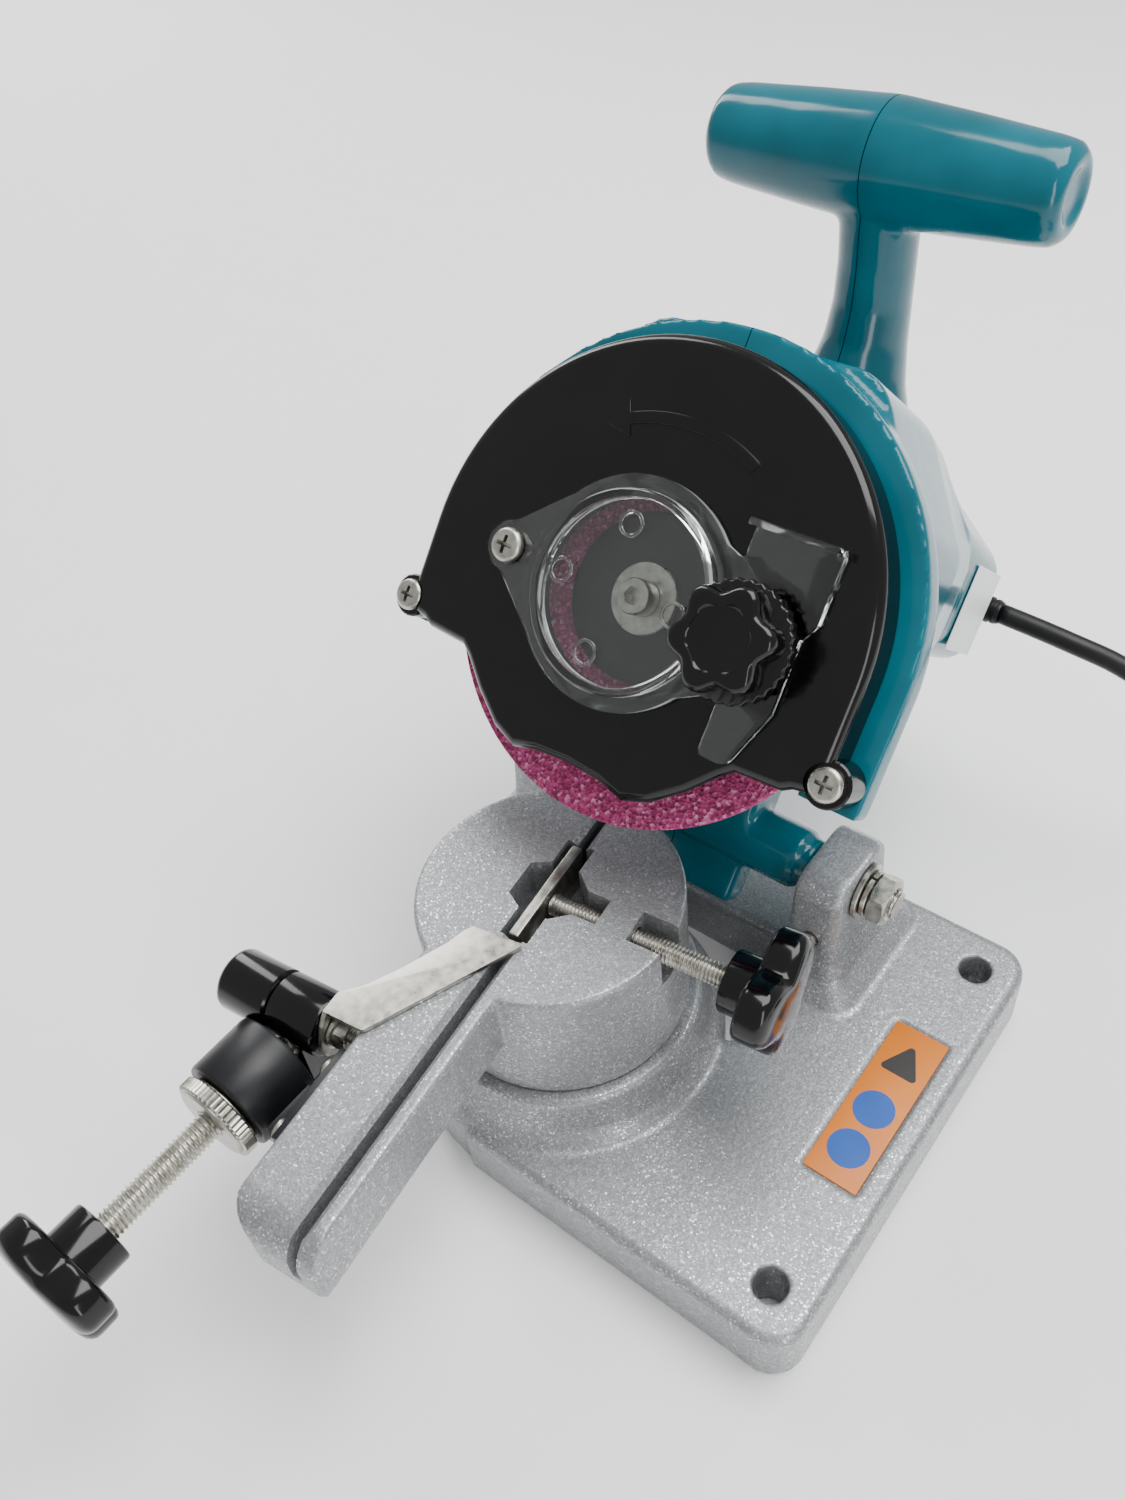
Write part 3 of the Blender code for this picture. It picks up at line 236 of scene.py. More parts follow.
def loft(rings, closed=False):
    """Skin over rings of equal count; the ends are capped, or joined if closed."""
    shape = bmesh.new()
    rows = [[shape.verts.new(p) for p in ring] for ring in rings]
    count = len(rows[0])
    pairs = list(zip(rows, rows[1:]))
    if closed:
        pairs.append((rows[-1], rows[0]))
    for low, high in pairs:
        for i in range(count):
            j = (i + 1) % count
            shape.faces.new((low[i], low[j], high[j], high[i]))
    if not closed:
        shape.faces.new(rows[0])
        shape.faces.new(rows[-1])
    bmesh.ops.recalc_face_normals(shape, faces=shape.faces)
    mesh = bpy.data.meshes.new("shape")
    shape.to_mesh(mesh)
    shape.free()
    return mesh


def prism(axis, outline, start, end):
    return loft([[spot(axis, at, a, b) for a, b in outline] for at in (start, end)])


def rod(axis, radius, start, end, centre=(0, 0), count=48):
    return prism(axis, circle(radius, count, centre), start, end)


def turned(axis, profile, centre=(0, 0), count=64, closed=False):
    """Turned shape of (radius, along) points; closed joins the last point to the first."""
    return loft([[spot(axis, along, a, b) for a, b in circle(max(radius, 0.03), count, centre)]
                 for radius, along in profile], closed)


def box(low, high):
    return prism("Z", [(low[0], low[1]), (high[0], low[1]), (high[0], high[1]), (low[0], high[1])],
                 low[2], high[2])


def rounded(corners, radii, steps=8):
    """Outline with rounded corners; a radius is less where its sides are short."""
    result = []
    for i, corner in enumerate(corners):
        here = Vector(corner)
        radius = radii[i] if isinstance(radii, (list, tuple)) else radii
        if radius <= 0:
            result.append(tuple(here))
            continue
        behind = Vector(corners[i - 1]) - here
        ahead = Vector(corners[(i + 1) % len(corners)]) - here
        longest = 0.46 * min(behind.length, ahead.length)
        behind.normalize()
        ahead.normalize()
        half = behind.angle(ahead) / 2
        reach = min(longest, radius * cos(half) / sin(half))
        radius = reach * sin(half) / cos(half)
        centre = here + (behind + ahead).normalized() * (radius / sin(half))
        first = here + behind * reach - centre
        last = here + ahead * reach - centre
        for k in range(steps + 1):
            way = first.lerp(last, k / steps)
            result.append(tuple(centre + way.normalized() * radius))
    return result


def inset(outline, depth):
    """Anticlockwise outline moved inwards."""
    result = []
    for i, point in enumerate(outline):
        here = Vector(point)
        one = (here - Vector(outline[i - 1])).normalized()
        two = (Vector(outline[(i + 1) % len(outline)]) - here).normalized()
        side = (Vector((-one.y, one.x)) + Vector((-two.y, two.x))).normalized()
        lean = max(0.4, side.dot(Vector((-one.y, one.x))))
        result.append(tuple(here + side * (depth / lean)))
    return result


def slab(axis, outline, start, end, edge, steps=6):
    """Prism whose edge at `end` is rounded over."""
    way = 1 if end > start else -1
    rings = [[spot(axis, start, a, b) for a, b in outline]]
    for k in range(steps + 1):
        turn = pi / 2 * k / steps
        at = end - way * edge * (1 - sin(turn))
        rings.append([spot(axis, at, a, b) for a, b in inset(outline, edge * (1 - cos(turn)))])
    return loft(rings)


def tube(path, radius, sides=12):
    """Round bar along points."""
    points = [Vector(p) for p in path]
    side = None
    rings = []
    for i, point in enumerate(points):
        ahead = points[min(i + 1, len(points) - 1)] - points[max(i - 1, 0)]
        ahead.normalize()
        side = ahead.orthogonal() if side is None else side - ahead * side.dot(ahead)
        side.normalize()
        other = ahead.cross(side)
        rings.append([point + (side * cos(t) + other * sin(t)) * radius
                      for t in [2 * pi * k / sides for k in range(sides)]])
    return loft(rings)


def screw_thread(axis, radius, pitch, start, end, centre=(0, 0)):
    """Rolled V thread: a real helix along the rod, with run-out at both ends."""
    count, steps = 40, 8
    depth = 0.54 * pitch
    rings = []
    total = int(abs(end - start) / pitch * steps)
    for k in range(total + 1):
        along = start + (end - start) * k / total
        fade = min(1, 0.25 + min(k, total - k) / steps)
        ring = []
        for i in range(count):
            turn = 2 * pi * i / count
            phase = (along / pitch - i / count) % 1
            cut_in = abs(2 * phase - 1)
            r = radius - depth * fade * min(1, 1.25 * cut_in)
            ring.append(spot(axis, along, centre[0] + r * cos(turn), centre[1] + r * sin(turn)))
        rings.append(ring)
    return loft(rings)


def gather(meshes):
    """Several meshes as one."""
    shape = bmesh.new()
    for mesh in meshes:
        shape.from_mesh(mesh)
    result = bpy.data.meshes.new("gathered")
    shape.to_mesh(result)
    shape.free()
    return result


def carve(mesh, kind, tools):
    """Boolean of a mesh with each tool in turn."""
    item = bpy.data.objects.new("work", mesh)
    bpy.context.scene.collection.objects.link(item)
    for tool in tools:
        other = bpy.data.objects.new("tool", tool)
        bpy.context.scene.collection.objects.link(other)
        step = item.modifiers.new("step", "BOOLEAN")
        step.operation = kind
        step.solver = "EXACT"
        step.object = other
        bake(item)
        bpy.data.objects.remove(other, do_unlink=True)
    result = item.data
    bpy.data.objects.remove(item, do_unlink=True)
    return result


def bake(item):
    graph = bpy.context.evaluated_depsgraph_get()
    mesh = bpy.data.meshes.new_from_object(item.evaluated_get(graph))
    item.modifiers.clear()
    item.data = mesh


def join(mesh, *tools):
    return carve(mesh, "UNION", tools)


def cut(mesh, *tools):
    return carve(mesh, "DIFFERENCE", tools)


def common(mesh, *tools):
    return carve(mesh, "INTERSECT", tools)


def melt(mesh, voxel, rounds, keep=None):
    """Blends a joined shape's edges, as a mould or casting does; keep(point) stays sharp."""
    item = bpy.data.objects.new("melt", mesh)
    bpy.context.scene.collection.objects.link(item)
    step = item.modifiers.new("remesh", "REMESH")
    step.mode = "VOXEL"
    step.voxel_size = voxel
    bake(item)
    group = item.vertex_groups.new(name="soft")
    soft = [v.index for v in item.data.vertices if keep is None or not keep(v.co)]
    group.add(soft, 1.0, "REPLACE")
    step = item.modifiers.new("smooth", "SMOOTH")
    step.factor = 0.5
    step.iterations = rounds
    step.vertex_group = "soft"
    bake(item)
    result = item.data
    bpy.data.objects.remove(item, do_unlink=True)
    return result


def piece(name, mesh, place, body, material, stands_for=(), sharp=35, bevel=0.0,
          steps=3):
    """Puts a finished mesh in its place, on its body."""
    item = bpy.data.objects.new(name, mesh)
    bpy.context.scene.collection.objects.link(item)
    if bevel:
        step = item.modifiers.new("edge", "BEVEL")
        step.width = bevel
        step.segments = steps
        step.limit_method = "ANGLE"
        step.angle_limit = radians(40)
        bake(item)
    item.data.transform(place)
    item.data.materials.clear()
    item.data.materials.append(material)
    for face in item.data.polygons:
        face.use_smooth = True
    if sharp:
        item.data.set_sharp_from_angle(angle=radians(sharp))
    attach(item, body)
    if stands_for:
        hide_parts(*stands_for)
    return item


# ------------------------------------------------------------------ cord, coil and plug
CORD_R = 3
EXIT_Y, EXIT_Z = 157.21, 70.49
COIL_X, COIL_Y = 225, EXIT_Y - 36


def smooth_path(points, each):
    """Curve through the points."""
    points = [Vector(p) for p in points]
    ends = [2 * points[0] - points[1]] + points + [2 * points[-1] - points[-2]]
    result = []
    for i in range(1, len(ends) - 2):
        p0, p1, p2, p3 = ends[i - 1:i + 3]
        for k in range(each):
            t = k / each
            result.append(0.5 * (2 * p1 + (p2 - p0) * t + (2 * p0 - 5 * p1 + 4 * p2 - p3) * t * t
                                 + (3 * p1 - p0 - 3 * p2 + p3) * t ** 3))
    return result + [points[-1]]


def cord_path():
    """Out of the relief, down to the bench, seven close turns and a tail to the plug."""
    falls = [(46.3, 0, EXIT_Z), (56, 0.3, EXIT_Z - 0.8), (68, 1, EXIT_Z - 2.4),
             (82, 2, EXIT_Z - 5), (97, 2.4, EXIT_Z - 11), (111, 2.2, EXIT_Z - 22),
             (123, 1.7, EXIT_Z - 36), (134, 1.2, EXIT_Z - 49), (147, 0.7, EXIT_Z - 60),
             (163, 0.2, 3.8), (182, 0, 3.3), (202.5, 0, 3.3)]
    points = smooth_path([(x, EXIT_Y + dy, z) for x, dy, z in falls], 4)
    coil = []
    for k in range(7 * 36 + 9 + 1):
        turns = k / 36
        layer = min(3, int(turns / 2 + 1e-6))
        share = turns - 2 * layer
        rise = layer * 6 + 3.3
        if share > 1.72 and layer < 3:
            rise += 6 * (share - 1.72) / 0.28
        if layer == 3:
            radius = 30 + 6 * min(1, share / 1.25)
        else:
            radius = 36 - 3 * share if layer % 2 == 0 else 30 + 3 * share
        at = pi / 2 - 2 * pi * turns
        coil.append(Vector((COIL_X + radius * cos(at), COIL_Y + radius * sin(at), rise)))
    tail = smooth_path([(COIL_X + x, COIL_Y + y, z) for x, y, z in (
        (36, 0, 21.3), (36.2, -10, 21), (37, -20, 18.5), (38, -30, 14), (38.5, -38, 10.6),
        (38.5, -45, 9.3))], 4)
    return [TURNTABLE + p * MM for p in points + coil + tail[1:]]


path = cord_path()

cord = bpy.data.objects.new("mains_cord", tube(path, CORD_R * MM))
bpy.context.scene.collection.objects.link(cord)
cord.data.materials.append(RUBBER)
for face in cord.data.polygons:
    face.use_smooth = True
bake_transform(cord)
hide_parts("power_cord", "cord_coil")


# ------------------------------------------------------------------ fasteners
def hexagon(across, centre=(0, 0), phase=0.0):
    return circle(across / 2 / cos(pi / 6), 6, centre, phase)


def hex_nut(axis, across, start, end, centre, bore, phase=0.0):
    """Nut or bolt head with its corners chamfered at both ends."""
    corner = across / 2 / cos(pi / 6)
    low, high = min(start, end), max(start, end)
    shape = common(
        prism(axis, hexagon(across, centre, phase), low, high),
        turned(axis, [(across * 0.47, low - 0.01), (corner + 0.1, low + 0.9),
                      (corner + 0.1, high - 0.9), (across * 0.47, high + 0.01)], centre, 72))
    if bore:
        shape = cut(shape, turned(axis, [(bore + 0.8, low - 0.1), (bore, low + 0.7),
                                         (bore, high - 0.7), (bore + 0.8, high + 0.1)], centre))
    return shape


def washer(axis, inner, outer, start, end, centre=(0, 0), edge=0.25):
    return turned(axis, [(outer - edge, start), (outer, start + edge), (outer, end - edge),
                         (outer - edge, end), (inner + edge, end), (inner, end - edge),
                         (inner, start + edge), (inner + edge, start)], centre, 72, True)


def cross_head(axis, radius, height, shank_r, shank, centre, face, way):
    """Pan head with a cross recess; its top is at `face` and `way` points out of it."""
    back_at = face - way * height
    profile = [(shank_r, back_at - way * shank), (shank_r, back_at), (radius - 0.1, back_at),
               (radius, back_at + way * 0.15)]
    for k in range(9):
        turn = pi / 2 * k / 8
        profile.append((radius * (0.62 + 0.38 * cos(turn)),
                        back_at + way * height * (0.45 + 0.50 * sin(turn))))
    profile += [(radius * 0.3, face - way * 0.01), (0.02, face)]
    screw = turned(axis, profile, centre, 56)
    a0, b0 = centre
    for long, thin in ((0.56 * radius, 0.12 * radius), (0.12 * radius, 0.56 * radius)):
        rings = []
        for at, share in ((face + way, 1.15), (face - way * 0.75 * height, 0.62)):
            rings.append([spot(axis, at, a0 + share * sa * long, b0 + share * sb * thin)
                          for sa, sb in ((-1, -1), (1, -1), (1, 1), (-1, 1))])
        screw = cut(screw, loft(rings))
    return screw


# ------------------------------------------------------------------ base
BASE_TOP, BASE_RIGHT, BASE_FRONT, BASE_BACK = 20, 97, -45, 86.5
BEAM_LEFT, BEAM_FRONT, NOTCH_RIGHT, NOTCH_FRONT = -58, 53.5, 46, 16.5
HINGE_AT = (61.1, 48.3)
LUG_IN, LUG_OUT = 42, 55.5
BOSS_R, BOSS_TOP = 36.5, 34.6


def lug(side):
    """Hinge lug on a flared foot."""
    y0, y1 = HINGE_AT[0] - 15.4, HINGE_AT[0] + 15
    levels = [
        (BASE_TOP - 3, 2, 11.5, 8.6, 8.5, 6), (BASE_TOP + 1.5, 1.5, 7.5, 6, 6.5, 6),
        (BASE_TOP + 5, 0.7, 3.5, 2.6, 3.5, 5), (BASE_TOP + 11, 0.2, 1.1, 0.7, 1, 4),
        (BASE_TOP + 18, 0, 0, 0, 0, 3), (HINGE_AT[1] + 5.2, 0, 0, -1.6, -1.6, 3),
        (HINGE_AT[1] + 8, 0, 0, -4.6, -4.6, 3), (HINGE_AT[1] + 9.2, 0, 0, -8.6, -8.6, 3)]
    rings = []
    for z, inside, outside, front, rear, r in levels:
        x0, x1 = LUG_IN - inside, LUG_OUT + outside
        corners = [(x0, y0 - front), (x1, y0 - front), (x1, y1 + rear), (x0, y1 + rear)]
        rings.append([(side * x, y, z) for x, y in rounded(corners, [1, r, r, 1], 6)])
    return loft(rings)


def base_casting():
    outline = rounded([
        (0, BASE_FRONT), (BASE_RIGHT, BASE_FRONT), (BASE_RIGHT, BASE_BACK),
        (BEAM_LEFT, BASE_BACK), (BEAM_LEFT, BEAM_FRONT), (NOTCH_RIGHT, BEAM_FRONT),
        (NOTCH_RIGHT, NOTCH_FRONT), (0, NOTCH_FRONT)], [0] + [9] * 6 + [0])
    boss = turned("Z", [(BOSS_R + 7, 0), (BOSS_R + 7, 18), (BOSS_R + 5.6, 21), (BOSS_R + 3.2, 24),
                        (BOSS_R + 1.8, 29), (BOSS_R + 0.9, BOSS_TOP - 0.8), (BOSS_R, BOSS_TOP)],
                  count=96)
    shape = join(slab("Z", outline, 0, BASE_TOP, 2.4), boss, lug(1), lug(-1))
    shape = cut(
        shape, box((52, -39, -5), (91, 80.5, 14)), box((0, -39, -5.5), (60, 10.5, 13.95)),
        box((-52, 59.5, -6), (60, 80.5, 14.05)), rod("Z", BOSS_R, -6.5, BASE_TOP),
        prism("Z", rounded(LABEL_SEAT, 0.8), BASE_TOP - 1, BASE_TOP + 2),
        rod("X", 4.2, -70, 80, HINGE_AT), rod("Z", 4.2, 10, 50), rod("Y", 2.2, 30, 56, (48.8, 38)))
    for y in (-32.4, 74.1):
        shape = join(shape, rod("Z", 9, 0.01, 18, (85.3, y)))
        shape = cut(shape, rod("Z", 4.3, -2, 30, (85.3, y)))
    return melt(shape, 0.8, 4)


LABEL_SEAT = [(75, -2.6), (91.2, -2.6), (91.2, 48.6), (75, 48.6)]
piece("base_cast", base_casting(), BASE, "base", SILVER, ["base_casting"], 0)

film = inset(rounded(LABEL_SEAT, 0.8), 0.7)
piece("base_film", prism("Z", film, 19.3, 19.7), BASE, "base", ORANGE, ["base_label"],
      bevel=0.08)
discs = gather([rod("Z", 5.4, 19.6, 19.76, (83.1, 8)), rod("Z", 5.4, 19.6, 19.76, (83.1, 21))])
piece("film_discs", discs, BASE, "base", BLUE)
bars = gather([prism("Z", rounded([(77.6, 33), (88.6, 33), (83.1, 43.5)], 1), 19.6, 19.76)])
piece("film_triangle", bars, BASE, "base", INK)
piece("lug_pin", turned("Y", [(2, 55.5), (2, 39.3), (1.8, 38.7), (1.3, 38.35), (0.05, 38.3)],
                        (48.8, 38)), BASE, "base", ZINC, ["rest_pin"])

bolt = gather([rod("X", 4, -LUG_OUT - 1, 55, HINGE_AT),
               screw_thread("X", 4, 1.25, 54, LUG_OUT + 10.1, HINGE_AT),
               hex_nut("X", 13, -LUG_OUT - 5.6, -LUG_OUT - 0.3, HINGE_AT, 0)])
piece("hinge_bolt_m8", bolt, BASE, "base", THREAD, ["hinge_bolt"])
stack = LUG_OUT + 0.3
piece("hinge_flat_washer", washer("X", 4.2, 8, stack, stack + 1.4, HINGE_AT), BASE, "base", ZINC,
      ["hinge_washer"])
split = cut(washer("X", 4.2, 6.6, stack + 1.7, stack + 3.1, HINGE_AT),
            box((stack, 60.6, 50), (stack + 5, 61.5, 60)))
piece("hinge_split_washer", split, BASE, "base", ZINC, ["hinge_lock_washer"])
piece("hinge_hex_nut", hex_nut("X", 12.6, stack + 3.4, stack + 8.4, HINGE_AT, 4.1, 0.3), BASE,
      "base", ZINC, ["hinge_nut"])
coil = [(-40.6, HINGE_AT[0] - 6.6, HINGE_AT[1] - 20)]
for k in range(4 * 32 + 1):
    turn = 2 * pi * k / 32 + pi
    coil.append((-40.6 + 10 * k / 128,
                 HINGE_AT[0] + 6.6 * cos(turn), HINGE_AT[1] - 6.6 * sin(turn)))
coil.append((-30.6, HINGE_AT[0] - 6.6, HINGE_AT[1] + 15))
piece("torsion_spring", tube(coil, 0.7, 12), BASE, "base", STEEL, ["return_spring"],
      0)

# ------------------------------------------------------------------ vise
ARM_LEFT, ARM_RIGHT, ARM_END, TABLE_TOP, SLOT_FLOOR, CLAMP_Z = -18, 5.6, -104, 73.9, 61, 68.5


def vise_casting():
    plan = rounded([(ARM_LEFT, ARM_END), (ARM_RIGHT, ARM_END), (ARM_RIGHT, 0), (ARM_LEFT, 0)],
                   [8, 1.5, 0, 0])
    side_view = rounded([(ARM_END, 54.5), (2, 54.5), (2, TABLE_TOP), (ARM_END, TABLE_TOP)],
                        [2.5, 0, 0, 12.3], 12)
    arm = common(slab("Z", plan, 52, TABLE_TOP, 1.2), prism("X", side_view, -25, 12))
    shape = join(slab("Z", circle(34.1, 120), BOSS_TOP + 0.3, TABLE_TOP, 0.8), arm)
    shape = melt(shape, 0.6, 4)
    hex_side = [(-3, -8), (-3, 8), (-3.9, 8), (-8.5, 5.2), (-8.5, -5.2), (-3.9, -8)]
    funnel = [(3, -8), (4.4, -8), (9, -4), (15.5, -4), (15.5, 4), (9, 4), (4.4, 8), (3, 8)]
    slot = [(-2.7, 80), (-2.7, TABLE_TOP), (-1.3, TABLE_TOP - 1.4), (-1.3, SLOT_FLOOR + 0.02),
            (1.3, SLOT_FLOOR + 0.02), (1.3, TABLE_TOP - 1.4), (2.7, TABLE_TOP), (2.7, 80)]
    return cut(
        shape, box((-3.9, -16.5, SLOT_FLOOR), (3.9, 16, 80)), prism("Y", slot, -120, 50),
        prism("Z", hex_side, SLOT_FLOOR + 0.04, 82), prism("Z", funnel, SLOT_FLOOR + 0.06, 83),
        box((24.3, -4.6, SLOT_FLOOR), (45, 4.6, 84)), rod("X", 3.2, 10, 30, (0, CLAMP_Z)),
        rod("Z", 4.2, 20, 56))


piece("vise_cast", vise_casting(), VISE, "vise", SILVER, ["vise_casting"], 38)
piece("jaw_bar", box((-2.3, -15.5, SLOT_FLOOR + 0.3), (0.5, 15.5, TABLE_TOP - 0.5)), VISE, "jaw",
      STEEL, ["jaw"], bevel=0.4)
clamp = gather([screw_thread("X", 3, 1.0, 0.9, 57.5, (0, CLAMP_Z))])
piece("clamp_screw_m6", clamp, VISE, "clamp", THREAD, ["clamp_screw"])


def lobed(axis, centre, lobes, radius, depth, stations, phase, count=144, power=1.6):
    """Star grip of (along, share of radius, share of lobe depth) stations."""
    rings = []
    for along, share, bite in stations:
        ring = []
        for i in range(count):
            turn = 2 * pi * i / count
            wave = (0.5 - 0.5 * cos(lobes * turn)) ** power
            r = share * (radius - bite * depth * wave)
            ring.append(spot(axis, along, centre[0] + r * cos(turn + phase),
                             centre[1] + r * sin(turn + phase)))
        rings.append(ring)
    return loft(rings)


def star_grip(axis, centre, lobes, radius, depth, collar_r, collar, face, way, phase):
    """Moulded star grip with domed face and a turned collar behind."""
    shares = [(0, 0.90, 1), (0.25, 0.945, 1), (0.8, 0.985, 1), (1.6, 1, 1), (5.6, 1, 1),
              (6.6, 0.985, 1), (7.4, 0.95, 1), (8.1, 0.89, 0.98), (8.6, 0.8, 0.9),
              (8.95, 0.66, 0.75), (9.15, 0.45, 0.5), (9.2, 0.2, 0.2), (9.2, 0.02, 0)]
    grip = lobed(axis, centre, lobes, radius, depth,
                 [(face + way * a, s, b) for a, s, b in shares], phase)
    neck = turned(axis, [(collar_r - 0.8, face - way * collar),
                         (collar_r - 0.2, face - way * (collar - 0.2)),
                         (collar_r, face - way * (collar - 0.8)), (collar_r, face + way * 0.5),
                         (1, face + way * 0.6)], centre)
    return gather([grip, neck])


piece("clamp_grip", star_grip("X", (0, CLAMP_Z), 3, 16.8, 7, 8, 7, 56.5, 1, 0.5), VISE, "clamp",
      BLACK, ["clamp_knob"], 50)

# ------------------------------------------------------------------ chain stop
STOP_IN_VISE = Matrix.Translation((-40, -72.7, 60)) @ Matrix.Rotation(-SWIVEL, 4, "Z")


def in_vise(mesh):
    mesh.transform(STOP_IN_VISE)
    return mesh


bracket = join(
    turned("Y", [(11.2, -8), (12.1, -7.8), (12.4, -7.1), (12.4, 8.1), (12.1, 8.8), (11.2, 9)],
           count=96),
    box((-6.5, 3, -12), (6.5, 14, -9)), box((-6.4, 12, -12.1), (6.4, 32, -9.1)),
    box((5, -6, -9), (20, 7, 1)))
bracket = in_vise(cut(bracket, rod("Y", 3.9, -40, 20)))
bracket = join(bracket, box((-21.6, -84, 55), (-18.3, -58.5, 69)))
piece("stop_bracket_moulding", bracket, VISE, "vise", NYLON, ["stop_bracket"],
      bevel=0.5)
for where_at, y, z in (("front", -80.5, 65), ("back", -63, 65)):
    piece("bracket_cross_head_" + where_at, cross_head("X", 3, 2, 1.7, 10, (y, z), -23.9, -1),
          VISE, "vise", ZINC, ["bracket_screw_" + where_at])

knurl = []
for i in range(240):
    r = 11.3 - 0.5 * (0.5 - 0.5 * cos(2 * pi * i / 240 * 48))
    knurl.append((r * cos(2 * pi * i / 240), r * sin(2 * pi * i / 240)))
nut = gather([
    loft([[(x * s, at, z * s) for x, z in knurl] for at, s in
          ((-9.0, 0.95), (-9.4, 1), (-12.3, 1), (-12.7, 0.95))]),
    washer("Y", 3.9, 9.8, -13.3, -8.3, edge=0.4)])
piece("knurled_nut", nut, STOP_LINE, "lock_nut", ZINC, ["stop_lock_nut"])
piece("stop_screw_m8", screw_thread("Y", 3.7, 1.25, -55.8, 16.8), STOP_LINE, "stop", THREAD,
      ["stop_screw"])
piece("stop_grip", star_grip("Y", (0, 0), 4, 17.6, 5.5, 8.2, 9, -53, -1, 0.35), STOP_LINE, "stop",
      BLACK, ["stop_knob"], 50)

BARREL_AT = (-54.3, 67)
SPLIT, BARREL_END = -43, -28.2
foot = in_vise(box((-3.8, 11.5, -8.8), (6.5, 24.5, 4)))
foot = join(foot, turned("X", [(7.3, SPLIT + 0.2), (8, SPLIT + 0.8), (8, BARREL_END - 0.9),
                               (7.7, BARREL_END - 0.25), (7.1, BARREL_END)], BARREL_AT, 96),
            rod("X", 5.2, SPLIT - 4.5, SPLIT + 2, BARREL_AT))
foot = cut(foot, rod("X", 2.2, -60, 0, BARREL_AT), in_vise(rod("Y", 3.9, 0, 17.3)))
piece("barrel_moulding", foot, VISE, "carriage", BLACK, ["stop_barrel"],
      bevel=0.3)
cap = turned("X", [(0.05, -58.7), (5.6, -58.7), (6.9, -58.4), (7.7, -57.7), (8, -56.8),
                   (8, SPLIT - 0.8), (7.3, SPLIT - 0.2), (5.5, SPLIT - 0.2), (5.4, -55.5),
                   (0.05, -55.5)], BARREL_AT, 96)
piece("barrel_end_cap", cap, VISE, "carriage", BLACK, ["barrel_cap"])

EAR = BARREL_END + 0.3
sheet_z = TABLE_TOP + 0.3
arm_plan = rounded([
    (EAR, -55.4), (-16.4, -55.2), (4.1, -17.8), (-9.9, -18.8), (-11.4, -21.6), (-12.6, -25.6),
    (-18.6, -37.4), (-23.6, -45.4), (EAR, -49.5)], [0, 1.2, 0.6, 0.8, 1, 2, 3, 2, 0], 5)
ear = rounded([(-55.4, sheet_z + 1.2), (-58, 72.4), (-60.3, 67), (-59.8, 62.5), (-56.6, 59.4),
               (-52, 59.4), (-49.2, 62.5), (-48.6, 67), (-49.5, sheet_z + 1.2)],
              [0, 2, 3, 3, 3, 3, 3, 3, 0], 5)
pawl = join(prism("Z", arm_plan, sheet_z, sheet_z + 1.2), prism("X", ear, EAR + 0.02, EAR + 1.2))
pawl = cut(pawl, rod("X", 2.2, -40, -20, BARREL_AT))
piece("pawl_sheet", pawl, VISE, "pawl", ZINC, ["pawl"], bevel=0.25)
piece("pawl_pivot", gather([
    turned("X", [(0.05, -51.2), (3.2, -51.2), (3.6, -50.8), (3.6, -48), (2, -48), (2, -26)],
           BARREL_AT), screw_thread("X", 2, 0.7, -26.5, -20.4, BARREL_AT)]), VISE, "pawl",
      THREAD, ["pawl_bolt"])
NUT_FACE = EAR + 1.5
piece("pawl_flange_nut", gather([
    turned("X", [(4.6, NUT_FACE), (4.6, NUT_FACE + 0.6), (4.3, NUT_FACE + 0.9),
                 (3.4, NUT_FACE + 1.4), (2.2, NUT_FACE + 1.4), (2.2, NUT_FACE)], BARREL_AT, 64,
           True),
    hex_nut("X", 7, NUT_FACE + 0.7, NUT_FACE + 4.2, BARREL_AT, 2.1, 0.2)]), VISE, "pawl", ZINC,
      ["pawl_nut"])

# ------------------------------------------------------------------ teal housing
WHEEL_Z = 54.3
HUB = (0, WHEEL_Z)
RING_R, RING_FRONT, RING_BACK, LEG_END = 65.3, -66, -56.6, 27
GUARD_R, GUARD_FRONT = 59.2, -77.4
COVER_FACE = GUARD_FRONT - 2.3
SCREW_X, SCREW_Z, EAR_FACE = 59.5, WHEEL_Z - 20.9, -75.4
KNOB_AT, PIP_AT = (32.5, WHEEL_Z), (-33.2, WHEEL_Z + 0.3)


def body_rings(shrink):
    """Sections of the upper housing from the wheel plate to its back."""
    stations = [
        (-58, 52, 61, 88, 30, 118.6), (-15, 50, 60, 88, 28, 118.4), (4.6, 47, 60, 90, 26, 116.5),
        (5.6, 45, 61, 94, 26, 115), (43, 45, 62, 92, 22, 108.5), (50, 43, 65, 90, 20, 104.5),
        (57, 39, 70, 88, 18, 99), (62, 33, 76, 86.5, 15, 94), (65, 24, 80.5, 85.5, 10, 90)]
    rings = []
    for y, half, low, shoulder, top_half, top in stations:
        half, top_half = half - shrink, top_half - 0.4 * shrink
        low, top = low + shrink, top - shrink
        shoulder = min(shoulder, top - 2)
        corners = [(-half, low), (half, low), (half, shoulder), (top_half, top),
                   (-top_half, top), (-half, shoulder)]
        edge = max(1.0, min(9, (shoulder - low) * 0.45))
        y = y - shrink if y > 0 else y + shrink * (y < -57)
        rings.append([(x, y, z) for x, z in rounded(corners, [edge, edge, 12, 14, 14, 12], 8)])
    return rings


